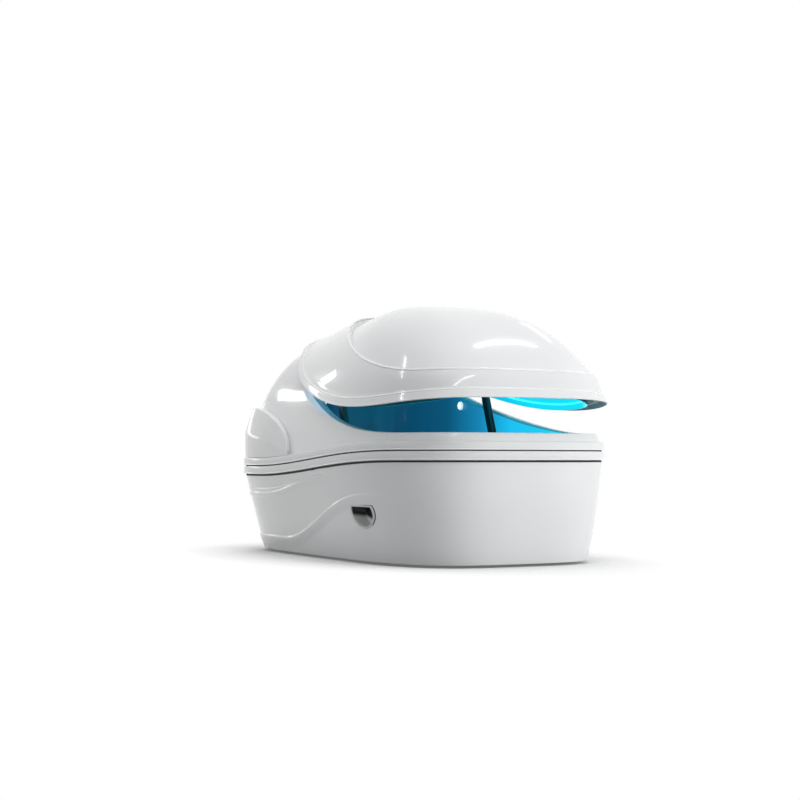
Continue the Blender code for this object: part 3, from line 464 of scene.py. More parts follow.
def paintedGlowAcrylic(name, skinTone, paintedLight, strength):
    # painted light: the acrylic's inner face glows as if the pod's light fell on it, the glow growing along
    # the pod and weaker at the near side and low down; only the inner face shows it
    material = finish(name, skinTone, 0.20, coat=0.2, ripple=0.015, specular=0.3)
    tree, shader = material.node_tree, material.node_tree.nodes["Principled BSDF"]
    fade = addNode(tree, "ShaderNodeGroup", node_tree=fadeAlong)
    for socket in ("Start", "End", "Near", "Far"):
        fade.inputs[socket].default_value = paintedLight[socket.lower()]
    ramp = addNode(tree, "ShaderNodeValToRGB", (("Fac", fade.outputs["Share"]),))
    stops = ramp.color_ramp.elements
    while len(stops) < len(paintedLight["stops"]):
        stops.new(1.0)
    for stop, (place, colour) in zip(stops, paintedLight["stops"]):
        stop.position = place
        stop.color = (*colour, 1)
    gain = remap(tree, fade.outputs["Across"], 0.0, 1.0, paintedLight["nearGain"], 1.0)
    rise = remap(tree, fade.outputs["Height"], paintedLight["low"], paintedLight["high"], paintedLight["lowGain"], 1.0, True)
    gain = compute(tree, "MULTIPLY", compute(tree, "MULTIPLY", gain, rise), markOf(tree))
    tree.links.new(scaleColour(tree, ramp.outputs["Color"], gain), shader.inputs["Emission Color"])
    shader.inputs["Emission Strength"].default_value = strength
    return material


def litPlain(name, colour, strength):
    material = finish(name, colour, 0.12, coat=0.5, ripple=0.01)
    shader = material.node_tree.nodes["Principled BSDF"]
    shader.inputs["Emission Color"].default_value = (*colour, 1)
    shader.inputs["Emission Strength"].default_value = strength
    return material


def gelcoatFinish(name):
    return finish(name, (0.80, 0.815, 0.825), 0.18, drift=0.015, driftScale=1.6, roughDrift=0.05,
                  rippleScale=55, ripple=0.012, coat=0.7, coatRough=0.02, specular=0.4)


def skinOf(material):
    tree = material.node_tree
    return tree, tree.nodes["Principled BSDF"], next(n for n in tree.nodes if n.type == "GROUP")


# painted shade in the pocket: way is the direction it darkens along, grey and black are where the darkening
# starts and ends
gripPaintedShade = {
    "way": (0.28, 0.0, 1.0),
    "grey": 0.348,
    "black": 0.372,
    "flange": (0.72, 0.735, 0.75),
    "low": (0.95, 0.955, 0.96, 1),
    "high": (0.008, 0.008, 0.009, 1),
}


def gripFinish():
    # pale flange round a pocket with painted shade, black above and fading to pale grey low down where its
    # floor rises; the thin ring round the flange takes the same painted shade as a dark outline
    material = finish("gripPlastic", gripPaintedShade["flange"], 0.26, drift=0.04, driftScale=8,
                      rippleScale=300, ripple=0.06, specular=0.25)
    tree, shader, skin = skinOf(material)
    where = addNode(tree, "ShaderNodeTexCoord").outputs["Object"]
    along = ((0, where), (1, gripPaintedShade["way"]))
    slope = addNode(tree, "ShaderNodeVectorMath", along, operation="DOT_PRODUCT")
    black = remap(tree, slope.outputs["Value"], gripPaintedShade["grey"], gripPaintedShade["black"], 0.0, 1.0, True)
    paintedPocketShade = mixColour(tree, black, gripPaintedShade["low"], gripPaintedShade["high"])
    tone = mixColour(tree, markOf(tree), skin.outputs["Colour"], paintedPocketShade)
    tree.links.new(tone, shader.inputs["Base Color"])
    return material


rubberTone = (0.40, 0.40, 0.385)


def lidFinish():
    # gelcoat with the underside of the lip faced in grey rubber
    material = gelcoatFinish("lidGelcoat")
    tree, shader, skin = skinOf(material)
    rubber = markOf(tree)
    tone = mixColour(tree, rubber, skin.outputs["Colour"], (*rubberTone, 1))
    tree.links.new(tone, shader.inputs["Base Color"])
    rough = compute(tree, "MULTIPLY_ADD", rubber, 0.45, skin.outputs["Roughness"])
    tree.links.new(rough, shader.inputs["Roughness"])
    tree.links.new(remap(tree, rubber, 0.0, 1.0, 0.7, 0.0), shader.inputs["Coat Weight"])
    return material


# painted light: tint and light colour the sill face as if the tub's glow fell on it
sillPaintedGlow = {
    "start": 0.55,
    "end": -0.05,
    "tint": (0.28, 0.56, 0.78, 1),
    "light": (0.08, 0.20, 0.30, 1),
    "strength": 0.6,
}


def sillFinish():
    # gelcoat whose sill face has the tub's blue light painted on it as a blue tint and a glow, more towards
    # the rear
    material = gelcoatFinish("sillGelcoat")
    tree, shader, skin = skinOf(material)
    fade = addNode(tree, "ShaderNodeGroup", node_tree=fadeAlong)
    fade.inputs["Start"].default_value = sillPaintedGlow["start"]
    fade.inputs["End"].default_value = sillPaintedGlow["end"]
    paintedLight = compute(tree, "MULTIPLY", markOf(tree), fade.outputs["Share"])
    tone = mixColour(tree, paintedLight, skin.outputs["Colour"], sillPaintedGlow["tint"])
    tree.links.new(tone, shader.inputs["Base Color"])
    light = mixColour(tree, paintedLight, (0, 0, 0, 1), sillPaintedGlow["light"])
    tree.links.new(light, shader.inputs["Emission Color"])
    shader.inputs["Emission Strength"].default_value = sillPaintedGlow["strength"]
    return material


gelcoat = gelcoatFinish("gelcoatWhite")
rubberBlack = finish("rubberBlack", (0.018, 0.018, 0.02), 0.75, drift=0.3, driftScale=20,
                     rippleScale=400, ripple=0.2)
rubberGrey = finish("rubberGrey", rubberTone, 0.62, drift=0.2, driftScale=18, rippleScale=380, ripple=0.2)
steel = finish("brushedSteel", (0.55, 0.56, 0.58), 0.32, drift=0.12, driftScale=30, roughDrift=0.2,
               rippleScale=250, ripple=0.1, metallic=1.0)
blackPaint = finish("strutPaint", (0.012, 0.012, 0.014), 0.30, drift=0.2, driftScale=12,
                    rippleScale=180, ripple=0.05)
framePaint = finish("framePowderCoat", (0.10, 0.105, 0.11), 0.55, drift=0.1, driftScale=10,
                    rippleScale=500, ripple=0.25)
chrome = finish("rodChrome", (0.62, 0.63, 0.65), 0.10, drift=0.04, roughDrift=0.05, metallic=1.0)
gripPlastic = gripFinish()
lidGelcoat = lidFinish()
sillGelcoat = sillFinish()
# a lighter copy of the gelcoat for the beads: real ridges that catch the light, their paler colour a painted
# highlight along the lines
trimWhite = finish("trimWhite", (0.92, 0.93, 0.94), 0.15, drift=0.01, driftScale=4, ripple=0.01,
                   coat=0.8, coatRough=0.02)
bedPlastic = finish("bedPlastic", (0.62, 0.70, 0.75), 0.38, drift=0.04, driftScale=4,
                    rippleScale=260, ripple=0.1)
vinyl = finish("headrestVinyl", (0.05, 0.06, 0.07), 0.5, drift=0.15, driftScale=14,
               rippleScale=220, ripple=0.35, rippleDepth=0.001)
tankPlastic = finish("tankPlastic", (0.72, 0.76, 0.80), 0.42, drift=0.05, rippleScale=150, ripple=0.08)
boxPlastic = finish("boxPlastic", (0.15, 0.16, 0.17), 0.55, drift=0.08, rippleScale=420, ripple=0.25)
# painted light: the lamp's bezel glows too, though only the lens is lit
lampPlastic = litPlain("lampPlastic", (0.86, 0.90, 0.92), 0.55)
lampGlow = litPlain("lampGlow", (0.95, 0.98, 1.0), 1.0)
diffuser = litPlain("ledDiffuser", (0.05, 0.80, 1.0), 1.6)
# painted light for the tub and the lid's lining: colour stops along the pod, with the near side and the low
# parts darker
tubPaintedGlowStops = {
    "start": -0.60,
    "end": 0.95,
    "near": -0.55,
    "far": 0.35,
    "nearGain": 0.45,
    "low": 0.20,
    "high": 0.60,
    "lowGain": 0.75,
    "stops": ((0.0, (0.002, 0.040, 0.075)), (0.22, (0.004, 0.085, 0.165)), (0.36, (0.010, 0.25, 0.48)),
              (0.50, (0.014, 0.60, 1.0)), (1.0, (0.016, 0.92, 1.0))),
}
linerPaintedGlowStops = {
    "start": -0.45,
    "end": 0.90,
    "near": -0.6,
    "far": 0.2,
    "nearGain": 0.8,
    "low": 0.6,
    "high": 0.9,
    "lowGain": 1.0,
    "stops": ((0.0, (0.006, 0.22, 0.40)), (0.35, (0.008, 0.55, 0.80)), (0.60, (0.010, 0.82, 1.0)),
              (1.0, (0.012, 0.88, 1.0))),
}
tubAcrylic = paintedGlowAcrylic("tubAcrylic", (0.006, 0.05, 0.10), tubPaintedGlowStops, 0.85)
linerAcrylic = paintedGlowAcrylic("linerAcrylic", (0.010, 0.20, 0.30), linerPaintedGlowStops, 0.75)
print("materials:", len(bpy.data.materials))

# base skirt with its two swept ridges, the shadow groove under the rim and the lower rim band
skirt = {
    "stations": 288,
    "toe": 0.012,
    "inset": 0.010,
    "wall": 0.010,
    "bulge": 0.013,
    "proud": 0.007,
    "grooveDeep": 0.006,
    "grooveTall": 0.009,
    "bandRound": 0.005,
}


# each ridge climbs from its foot at the rear over a run along the pod, and fades towards the front
ridges = {
    "low": {"foot": 0.085, "climb": 0.235, "from": -0.45, "run": 1.07, "fadeFrom": 0.35, "fadeRun": 0.6},
    "high": {"foot": 0.308, "climb": 0.104, "from": -0.62, "run": 0.95, "fadeFrom": 0.15, "fadeRun": 0.4},
    "twinApart": 0.022,
    "twinRun": 0.75,
    "twinSoft": 0.012,
}


def ridgeHeight(x, ridge):
    return ridge["foot"] + ridge["climb"] * smooth((x - ridge["from"]) / ridge["run"])


def lowRidge(x):
    return ridgeHeight(x, ridges["low"])


def highRidge(x):
    return ridgeHeight(x, ridges["high"])


def ridgeFade(x, ridge):
    return skirt["proud"] * (1.0 - smooth((x - ridge["fadeFrom"]) / ridge["fadeRun"]))


def crest(d, below, above):
    return np.where(d < 0, smooth(1.0 + d / below), smooth(1.0 - d / above))


def ridgeOut(x, z):
    fadeLow, fadeHigh = ridgeFade(x, ridges["low"]), ridgeFade(x, ridges["high"])
    apart = ridges["twinApart"] * (1.0 - smooth((x - ridges["high"]["from"]) / ridges["twinRun"]))
    out = fadeLow * crest(z - lowRidge(x), 0.060, 0.011)
    out = out + fadeHigh * crest(z - highRidge(x), 0.030, 0.009)
    twin = crest(z - highRidge(x) - apart, 0.011, 0.008)
    return out + 0.5 * fadeHigh * smooth(apart / ridges["twinSoft"]) * twin


def skirtWall(t, z, extra=0.0):
    fx, fy = floorXY(t)
    rx, ry = planXY(t, skirt["inset"])
    z = z + 0 * rx
    share = (z - skirt["toe"]) / (form["rimBottom"] + dip(rx) - skirt["toe"])
    out = skirt["bulge"] * np.maximum(0.0, np.cos(t)) ** 2 * 4 * share * (1 - share) + extra
    return points(fx + (rx - fx) * share, fy + (ry - fy) * share, z) + planNormals(t) * out[:, None]


def skirtRings(t):
    x = planXY(t)[0]
    lower, upper = lowRidge(x), highRidge(x)
    rim, groove = form["rimBottom"] + dip(x), form["groove"] + dip(x)
    toe, deep, tall, soft = skirt["toe"], skirt["grooveDeep"], skirt["grooveTall"], skirt["bandRound"]
    levels = [
        (toe + 0.008 + 0 * x, lower - 0.062, 4),
        (lower - 0.062, lower, 10),
        (lower, lower + 0.013, 6),
        (lower + 0.013, upper - 0.034, 8),
        (upper - 0.034, upper, 8),
        (upper, upper + 0.034, 14),
        (upper + 0.034, rim - tall - 0.004, 4),
    ]
    band = lambda inset, z: points(*planXY(t, inset), z)
    rows = [skirtWall(t, toe, -0.005), skirtWall(t, toe + 0.002, -0.0015)]
    for low, high, count in levels:
        for i in range(count):
            z = low + (high - low) * i / count
            rows.append(skirtWall(t, z, ridgeOut(x, z)))
    rows += [skirtWall(t, rim - tall - 0.002), skirtWall(t, rim - tall, -0.0012)]
    rows += [skirtWall(t, rim - tall, -deep), skirtWall(t, rim - 0.0008, -deep)]
    rows += [band(soft, rim), band(soft * 0.3, rim + soft * 0.3), band(0.0, rim + soft)]
    top = groove - 0.002
    rows += [band(0.0, top - soft), band(soft * 0.3, top - soft * 0.3), band(soft, top)]
    rows += [band(hood["bandDeep"], top), band(hood["bandDeep"], rim - 0.012)]
    rows += [skirtWall(t, rim - 0.045, -skirt["wall"])]
    rows += [skirtWall(t, 0.22, -skirt["wall"]), skirtWall(t, toe, -skirt["wall"] - 0.004)]
    return rows


# D-shaped grip pockets; section gives scale, depth and how much of the painted pocket shade each ring takes
grip = {
    "x": 0.566,
    "top": 0.2745,
    "half": 0.1015,
    "deep": 0.1095,
    "lean": 0.010,
    "swell": 0.012,
    "shoulder": 0.018,
    "arc": 29,
    "flat": 17,
    "cut": 0.93,
    "floor": 0.058,
    "back": 0.064,
    "cutFrom": 0.48,  # the cutter's two ends, out from the middle of the pod
    "cutTo": 0.72,
    "cutHeight": 0.21,
    "section": ((0.30, 0.0575, 1), (0.55, 0.0568, 1), (0.62, 0.0535, 1), (0.66, 0.045, 1), (0.80, 0.010, 1),
                (0.825, 0.002, 1), (0.842, -0.0028, 0.6), (0.866, -0.0045, 0), (0.955, -0.0045, 0),
                (0.985, -0.0038, 0), (0.995, -0.0022, 0), (1.0, -0.0010, 1), (1.035, -0.0007, 1),
                (1.042, 0.0015, 1), (0.915, 0.0015, 1), (0.90, 0.013, 1), (0.68, 0.062, 1)),
}


def gripOutline(scale):
    top = grip["top"] - grip["deep"] * 0.5 * (1 - scale)
    middle = grip["x"] + 0.5 * grip["lean"]
    i = np.arange(grip["flat"] + 1)
    flatX = middle + scale * (0.97 * grip["half"] * (2 * i / grip["flat"] - 1) - 0.5 * grip["lean"])
    a = pi * np.arange(grip["arc"]) / (grip["arc"] - 1)
    fall = grip["shoulder"] + (grip["deep"] - grip["shoulder"]) * np.maximum(0.0, np.sin(a)) ** 0.85
    d = fall / grip["deep"]
    swell = grip["swell"] * 4 * d * (1 - d) * np.maximum(0.0, np.cos(a))
    arcX = middle + scale * (grip["half"] * np.cos(a) + grip["lean"] * (d - 0.5) + swell)
    return np.concatenate([flatX, arcX]), np.concatenate([top + 0 * flatX, top - scale * fall])


def skirtSide(x, z):
    # how far out the skirt's face is, at a place along it and a height
    low, high = np.full_like(x, 0.0), np.full_like(x, pi)
    for _ in range(40):
        middle = 0.5 * (low + high)
        beyond = skirtWall(middle, z)[:, 0] > x
        low, high = np.where(beyond, middle, low), np.where(beyond, high, middle)
    return skirtWall(low, z)[:, 1]


def gripMiddle(depth, side):
    x, z = np.array([grip["x"] + 0.5 * grip["lean"]]), np.array([grip["top"] - 0.5 * grip["deep"]])
    return x[0], side * (skirtSide(x, z)[0] - depth), z[0]


skirtObject = loft("baseSkirt", skirtRings(roundStations(skirt["stations"])), wrap=True)
for side, label in ((-1, "near"), (1, "far")):
    outX, outZ = gripOutline(grip["cut"])
    cuts = (grip["cutFrom"], grip["cutTo"])
    ends = [(grip["x"], side * d, grip["cutHeight"]) for d in cuts]
    cutter = loft("gripCutter", [points(outX, side * d, outZ) for d in cuts], poles=ends)
    skirtObject = cutAway(skirtObject, cutter)
    rings = []
    for scale, depth, dark in grip["section"]:
        outX, outZ = gripOutline(scale)
        rings.append(points(outX, side * (skirtSide(outX, outZ) - depth), outZ))
    middles = (gripMiddle(grip["floor"], side), gripMiddle(grip["back"], side))
    cup = loft("gripCup_" + label, rings, poles=middles, marks=[dark for _, _, dark in grip["section"]])
    dress(cup, gripPlastic, "base", ("grip_cup_" + label,))
smoothen(skirtObject.data)
dress(skirtObject, gelcoat, "base", ("base_skirt",))
print("skirt and grips:", len(skirtObject.data.polygons), "faces")


# upper shell: the second rim band, the ledge, the sill and the fixed rear hood
def sillLoop(t):
    r = formRadius(t, hood["inset"], hood["rise"], lambda x: sillHeight(x) - hood["sillRound"])
    return formPoint(t, r, hood["inset"], hood["rise"])


def chamferDrop(x):
    frontFade = 1.0 - smooth((x - hood["chamferFront"]) / hood["chamferFade"])
    return hood["chamfer"] * frontFade * smooth((x - hood["chamferRear"]) / hood["chamferRise"])


def shellRings(t, hoodRows=22, innerRows=8):
    x = planXY(t)[0]
    groove, top, soft = form["groove"] + dip(x) + 0.002, form["bandTop"] + dip(x), skirt["bandRound"]
    edge = sillLoop(t)
    inward = inwardNormals(edge)
    sill = edge[:, 2] + hood["sillRound"]
    insideIn, insideRise = hood["inset"] + hood["shell"], hood["rise"] - hood["shell"]
    inner = formRadius(t, insideIn, insideRise, lambda px: sillHeight(px) - 0.016)
    band = lambda inset, z: points(*planXY(t, inset), z)
    face = lambda across, z: points(edge[:, 0], edge[:, 1], z) + inward * across
    wide = hood["sillFace"]
    chamferLevel = lambda px: sillHeight(px) - hood["sillRound"] - chamferDrop(px)
    low = formRadius(t, hood["inset"], hood["rise"], chamferLevel)
    lowEdge = formPoint(t, low, hood["inset"], hood["rise"])
    rows = [band(hood["bandDeep"], groove), band(soft, groove)]
    rows += [band(soft * 0.3, groove + soft * 0.3), band(0.0, groove + soft)]
    rows += [band(0.0, top - soft), band(soft * 0.3, top - soft * 0.3), band(soft, top), band(0.012, top)]
    for w in np.linspace(0.0, 1.0, hoodRows) ** 1.25:
        rows.append(formPoint(t, 1 - (1 - low) * w, hood["inset"], hood["rise"]))
    rows.append(lowEdge + (face(0.004, sill) - lowEdge) * 0.10)
    for across, rise in ((0.004, 0.0), (wide * 0.5, 0.0), (wide, 0.0), (wide + 0.0022, -0.0012),
                         (wide + 0.003, -0.004), (wide + 0.003, -0.028), (wide - 0.004, -0.028),
                         (wide - 0.006, -0.011)):
        rows.append(face(across, sill + rise))
    for w in np.linspace(1.0, 0.25, innerRows):
        rows.append(formPoint(t, 1 - (1 - inner) * w, insideIn, insideRise))
    return rows


shellStations = roundStations(288)
shellRows = shellRings(shellStations)
sillStart = len(shellRows) - 17  # the chamfer's row, followed by the three rows of the sill's face
# the marked rows of the sill's face take the painted blue light
sillRowsPaintedBlue = [1.0 if sillStart <= i <= sillStart + 3 else 0.0 for i in range(len(shellRows))]
upperShell = loft("upperShell", shellRows, wrap=True, marks=sillRowsPaintedBlue)
dress(upperShell, sillGelcoat, "base", ("upper_shell",))
print("upper shell:", len(upperShell.data.polygons), "faces")

# raised cowl round the rear of the hood
cover = {
    "front": -0.20,
    "level": -1.0,
    "top": 0.762,
    "corner": 1.8,
    "across": 180,
    "up": 22,
    "seat": 0.0012,
    "edge": 0.0035,
    "least": 0.022,
    "proudFront": 0.016,
    "proudRear": 0.026,
    "thin": 0.010,
    "gap": 0.0015,
}


def coverGrid():
    low, high = 0.0, pi
    for _ in range(40):
        middle = 0.5 * (low + high)
        ahead = planXY(np.array([middle]))[0][0] > cover["front"] - 0.004
        low, high = (middle, high) if ahead else (low, middle)
    t = np.append(roundStations(cover["across"], high, 2 * pi - high), 2 * pi - high)
    x = planXY(t)[0]
    base = form["bandTop"] + dip(x) + cover["seat"]
    share = np.clip((x - cover["level"]) / (cover["front"] - cover["level"]), 0.0, 1.0)
    sweep = np.maximum(0.0, 1.0 - share ** cover["corner"]) ** (1.0 / cover["corner"])
    top = np.maximum(base + cover["least"], base + (cover["top"] - base) * sweep)
    proud = cover["proudFront"] + cover["proudRear"] * smooth((-0.15 - x) / 0.5)
    outward = planNormals(t)
    front, back = [], []
    for j in range(cover["up"] + 1):
        w = j / cover["up"]
        z = base + (top - base) * w
        r = formRadius(t, hood["inset"], hood["rise"], lambda px: z)
        wall = formPoint(t, r, hood["inset"], hood["rise"])
        reach = np.sum((points(*planXY(t, 0.006), z) - wall) * outward, axis=1)
        lift = np.minimum(proud, reach)
        front.append(wall + outward * np.maximum(cover["thin"], lift)[:, None])
        back.append(wall + outward * cover["gap"])
    return np.array(front), np.array(back)


coverFront, coverBack = coverGrid()


def coverObject():
    rows, count = coverFront.shape[:2]
    verts = [tuple(p) for p in coverFront.reshape(-1, 3)] + [tuple(p) for p in coverBack.reshape(-1, 3)]
    shift = rows * count
    faces = []
    for a in range(rows - 1):
        for j in range(count - 1):
            quad = (a * count + j, a * count + j + 1, (a + 1) * count + j + 1, (a + 1) * count + j)
            faces += [quad, tuple(i + shift for i in reversed(quad))]
    rim = [j for j in range(count)] + [a * count + count - 1 for a in range(1, rows)]
    rim += [(rows - 1) * count + j for j in range(count - 2, -1, -1)]
    rim += [a * count for a in range(rows - 2, 0, -1)]
    for i, j in zip(rim, rim[1:] + rim[:1]):
        faces.append((i, j, j + shift, i + shift))
    obj = meshObject("rearCover", verts, faces)
    bevel = obj.modifiers.new("edge", "BEVEL")
    bevel.width = cover["edge"]
    bevel.segments = 3
    bevel.angle_limit = radians(40)
    obj = plainMesh(obj)
    smoothen(obj.data, 40)
    return obj


rearCover = coverObject()
dress(rearCover, gelcoat, "base", ("rear_service_cover",))
print("rear cover:", len(rearCover.data.polygons), "faces")

# lid shell: lip, flank swelling to a shoulder, the domed panel let in behind it, and the flange for the seal
lidPole = np.array((lid["poleX"], 0.0, 0.0))


def towardPole(p, share):
    return lidPole + (p * (1, 1, 0) - lidPole) * (np.asarray(share) + np.zeros(len(p)))[:, None]


def shareAt(p, level):
    # how far out towards p the lid's form comes down to a height
    low, high = np.zeros(len(p)), np.ones(len(p))
    for _ in range(30):
        middle = 0.5 * (low + high)
        q = towardPole(p, middle)
        above = formHeight(q[:, 0], q[:, 1], lid["inset"], lid["rise"]) > level(q[:, 0])
        low, high = np.where(above, middle, low), np.where(above, high, middle)
    return low


def shoulderProud(q):
    crown = smooth(-q[:, 0] / 0.20) * (1.0 - smooth(np.abs(q[:, 1]) / 0.30))
    full = lid["shoulderSide"] + (lid["shoulderFront"] - lid["shoulderSide"]) * smooth((q[:, 0] - 0.2) / 0.6)
    return full * (1.0 - lid["shoulderFade"] * crown)


def panelCrown(x):
    return lid["crownRear"] + (lid["crownFront"] - lid["crownRear"]) * smooth((x + 0.02) / 0.45)


def panelProud(q, w, shoulder):
    step = lid["stepRear"] + (lid["stepFront"] - lid["stepRear"]) * smooth((q[:, 0] + 0.10) / 0.70)
    edge = shoulder - step
    return edge + (panelCrown(q[:, 0]) - edge) * (1.0 - (w / lid["panelEdge"]) ** 2)


def lidEdge(t):
    r = formRadius(t, lid["inset"], lid["rise"], lidEdgeHeight)
    return formPoint(t, r, lid["inset"], lid["rise"])


def lidOuter(edge):
    inward = inwardNormals(edge)
    up = lambda z: np.array((0.0, 0.0, z))
    flush = lambda q: onForm(q, lid["inset"], lid["rise"])
    lipAt = shareAt(edge, lambda x: lidEdgeHeight(x) + lid["lipHeight"])
    lipOver = shareAt(edge, lambda x: lidEdgeHeight(x) + lid["lipHeight"] + lid["lipFade"])
    panel = shareAt(edge, panelHeight)
    shoulder = shoulderProud(towardPole(edge, panel))
    lip = lid["lipProud"]
    rows = [edge - inward * (lip - 0.003), edge - inward * (lip - 0.001) + up(0.0012)]
    rows.append(edge - inward * lip + up(0.0035))
    for w in (0.25, 0.5, 0.75, 1.0):
        rows.append(flush(towardPole(edge, 1 - (1 - lipAt) * w)) - inward * lip)
    for w, keep in ((0.35, 0.75), (0.7, 0.22), (1.0, 0.0)):
        rows.append(flush(towardPole(edge, lipAt + (lipOver - lipAt) * w)) - inward * lip * keep)
    for w in np.linspace(0.0, 1.0, 18)[1:]:
        proud = shoulder * (1.0 - (1.0 - w) ** 2.2)
        q = towardPole(edge, lipOver + (panel - lipOver) * w)
        rows.append(onForm(q, lid["inset"] - proud, lid["rise"] + proud))
    for w in np.linspace(0.0, 1.0, 12)[1:]:
        q = towardPole(edge, panel * (1 - (1 - lid["panelEdge"]) * w))
        proud = shoulder + (panelProud(q, lid["panelEdge"], shoulder) - shoulder) * smooth(w * 1.35)
        rows.append(onForm(q, lid["inset"] - proud, lid["rise"] + proud))
    for w in np.linspace(1.0, 0.0, 32)[1:-1] * lid["panelEdge"]:
        q = towardPole(edge, panel * w)
        proud = panelProud(q, w, shoulder)
        rows.append(onForm(q, lid["inset"] - proud, lid["rise"] + proud))
    return rows


def lidInner(edge, sill):
    inward = inwardNormals(sill)
    seat = sill[:, 2] + hood["sillRound"] + lid["seat"]
    face = lambda across: points(sill[:, 0], sill[:, 1], seat) + inward * (across + 0 * seat)[:, None]
    foot = face(0.050)
    panel = np.minimum(0.96, shareAt(foot, panelHeight))
    shoulder = shoulderProud(towardPole(foot, panel))
    shellIn, shellRise = lid["inset"] + lid["shell"], lid["rise"] - lid["shell"]
    edgeIn = inwardNormals(edge)
    rows = [edge + edgeIn * 0.002 - np.array((0, 0, 0.0004)), edge + edgeIn * 0.006]
    rows += [face(-0.0095), face(0.018), face(0.044)]
    knee = onForm(foot, shellIn, shellRise)
    knee[:, 2] = np.minimum(seat + 0.022, knee[:, 2])
    rows.append(knee)
    for w in (0.85, 0.65, 0.45, 0.22):
        rows.append(onForm(towardPole(foot, panel * lid["panelEdge"] * (1 - w) + w), shellIn, shellRise))
    for w in (0.965, 0.90, 0.82, 0.70, 0.58, 0.45, 0.32, 0.16):
        q = towardPole(foot, panel * w)
        sunk = lid["shell"] - np.minimum(0.0, panelProud(q, w, shoulder))
        rows.append(onForm(q, lid["inset"] + sunk, lid["rise"] - sunk))
    return rows


def lidTop(proud, drop=0.0):
    height = formHeight(np.array([lid["poleX"]]), np.array([0.0]), lid["inset"] - proud, lid["rise"] + proud)
    return np.array((lid["poleX"], 0.0, float(height[0]) - drop))


def lidObject(t):
    edge = lidEdge(t)
    outer, inner = lidOuter(edge)[::-1], lidInner(edge, sillLoop(t))
    faced = lid["rubberRows"]
    rubber = [0.0] * len(outer) + [1.0] * faced + [0.0] * (len(inner) - faced)
    ends = (lidTop(float(panelCrown(lid["poleX"]))), lidTop(-lid["shell"]))
    rings = [swingAjar(r) for r in outer + inner]
    return loft("lidShell", rings, poles=[swingAjar(p) for p in ends], marks=rubber)


lidShell = lidObject(roundStations(288))
dress(lidShell, lidGelcoat, "lid", ("lid_shell",))
print("lid shell:", len(lidShell.data.polygons), "faces")

# lining inside the lid, with its rear edge drawn forward to clear the hinge arms
liner = {"stations": 192, "inset": 0.060, "rearIn": 0.19, "drop": 0.045, "wall": 0.005, "hang": 0.026}


def linerLoop(t):
    sill = sillLoop(t)
    x, y = sill[:, 0], sill[:, 1]
    flat = sill * (1, 1, 0)
    rear = smooth((-0.12 - x) / 0.42) * smooth((0.46 - np.abs(y)) / 0.22)
    ray = (lidPole - flat) / np.linalg.norm(lidPole - flat, axis=1, keepdims=True)
    inset = liner["inset"] + 0.010 * smooth((-0.08 - x) / 0.14) + liner["rearIn"] * rear
    inset = inset / np.maximum(0.6, np.sum(ray * inwardNormals(sill), axis=1))
    hang = smooth((1.10 - x) / 0.14) * smooth((x + 0.25) / 0.20)
    return flat + ray * inset[:, None], sill[:, 2] + hood["sillRound"], hang


def linerRings(t):
    q, sill, hang = linerLoop(t)
    under = liner["drop"] + liner["wall"] * 1.4
    roofAt = lambda share: onForm(towardPole(q, share), lid["inset"], lid["rise"])
    roof = lambda share, drop: roofAt(share) - np.array((0, 0, drop))
    foot = np.minimum(sill + 0.010 - liner["hang"] * hang, roof(1.0, liner["drop"] + 0.020)[:, 2])
    knee = np.minimum(sill + 0.055, roof(0.985, liner["drop"])[:, 2])
    step = (lidPole - q) / np.linalg.norm(lidPole - q, axis=1, keepdims=True) * liner["wall"]
    bend = towardPole(q, 0.985)
    outside = [q + points(0, 0, foot), bend + points(0, 0, knee)]
    inside = [q + step + points(0, 0, foot), bend + step + points(0, 0, knee - 0.003)]
    for w in (0.86, 0.76, 0.66, 0.54, 0.42, 0.30, 0.20, 0.10):
        outside.append(roof(w, liner["drop"]))
        inside.append(roof(w, under))
    return outside[::-1] + inside


linerStations = roundStations(liner["stations"])
linerEnds = [lidTop(0.0, drop) for drop in (liner["drop"], liner["drop"] + liner["wall"] * 1.4)]
linerRows = linerRings(linerStations)
linerMarks = [0.0] * (len(linerRows) // 2) + [1.0] * (len(linerRows) // 2)
swungRows, swungEnds = [swingAjar(r) for r in linerRows], [swingAjar(p) for p in linerEnds]
lidLiner = loft("lidLiner", swungRows, poles=swungEnds, angle=50, marks=linerMarks)
dress(lidLiner, linerAcrylic, "lid", ("lid_liner",))

# tub hung by its flange under the sill's lip
tub = {
    "stations": 192,
    "rearTop": 0.86,
    "drop": 0.012,
    "frontRise": 0.008,
    "floor": 0.190,
    "poleX": 0.23,
    "wall": 0.006,
    "inset": 0.052,
    "flange": 0.018,
    "flangeAt": 0.0325,
    "flangeThick": 0.004,
}


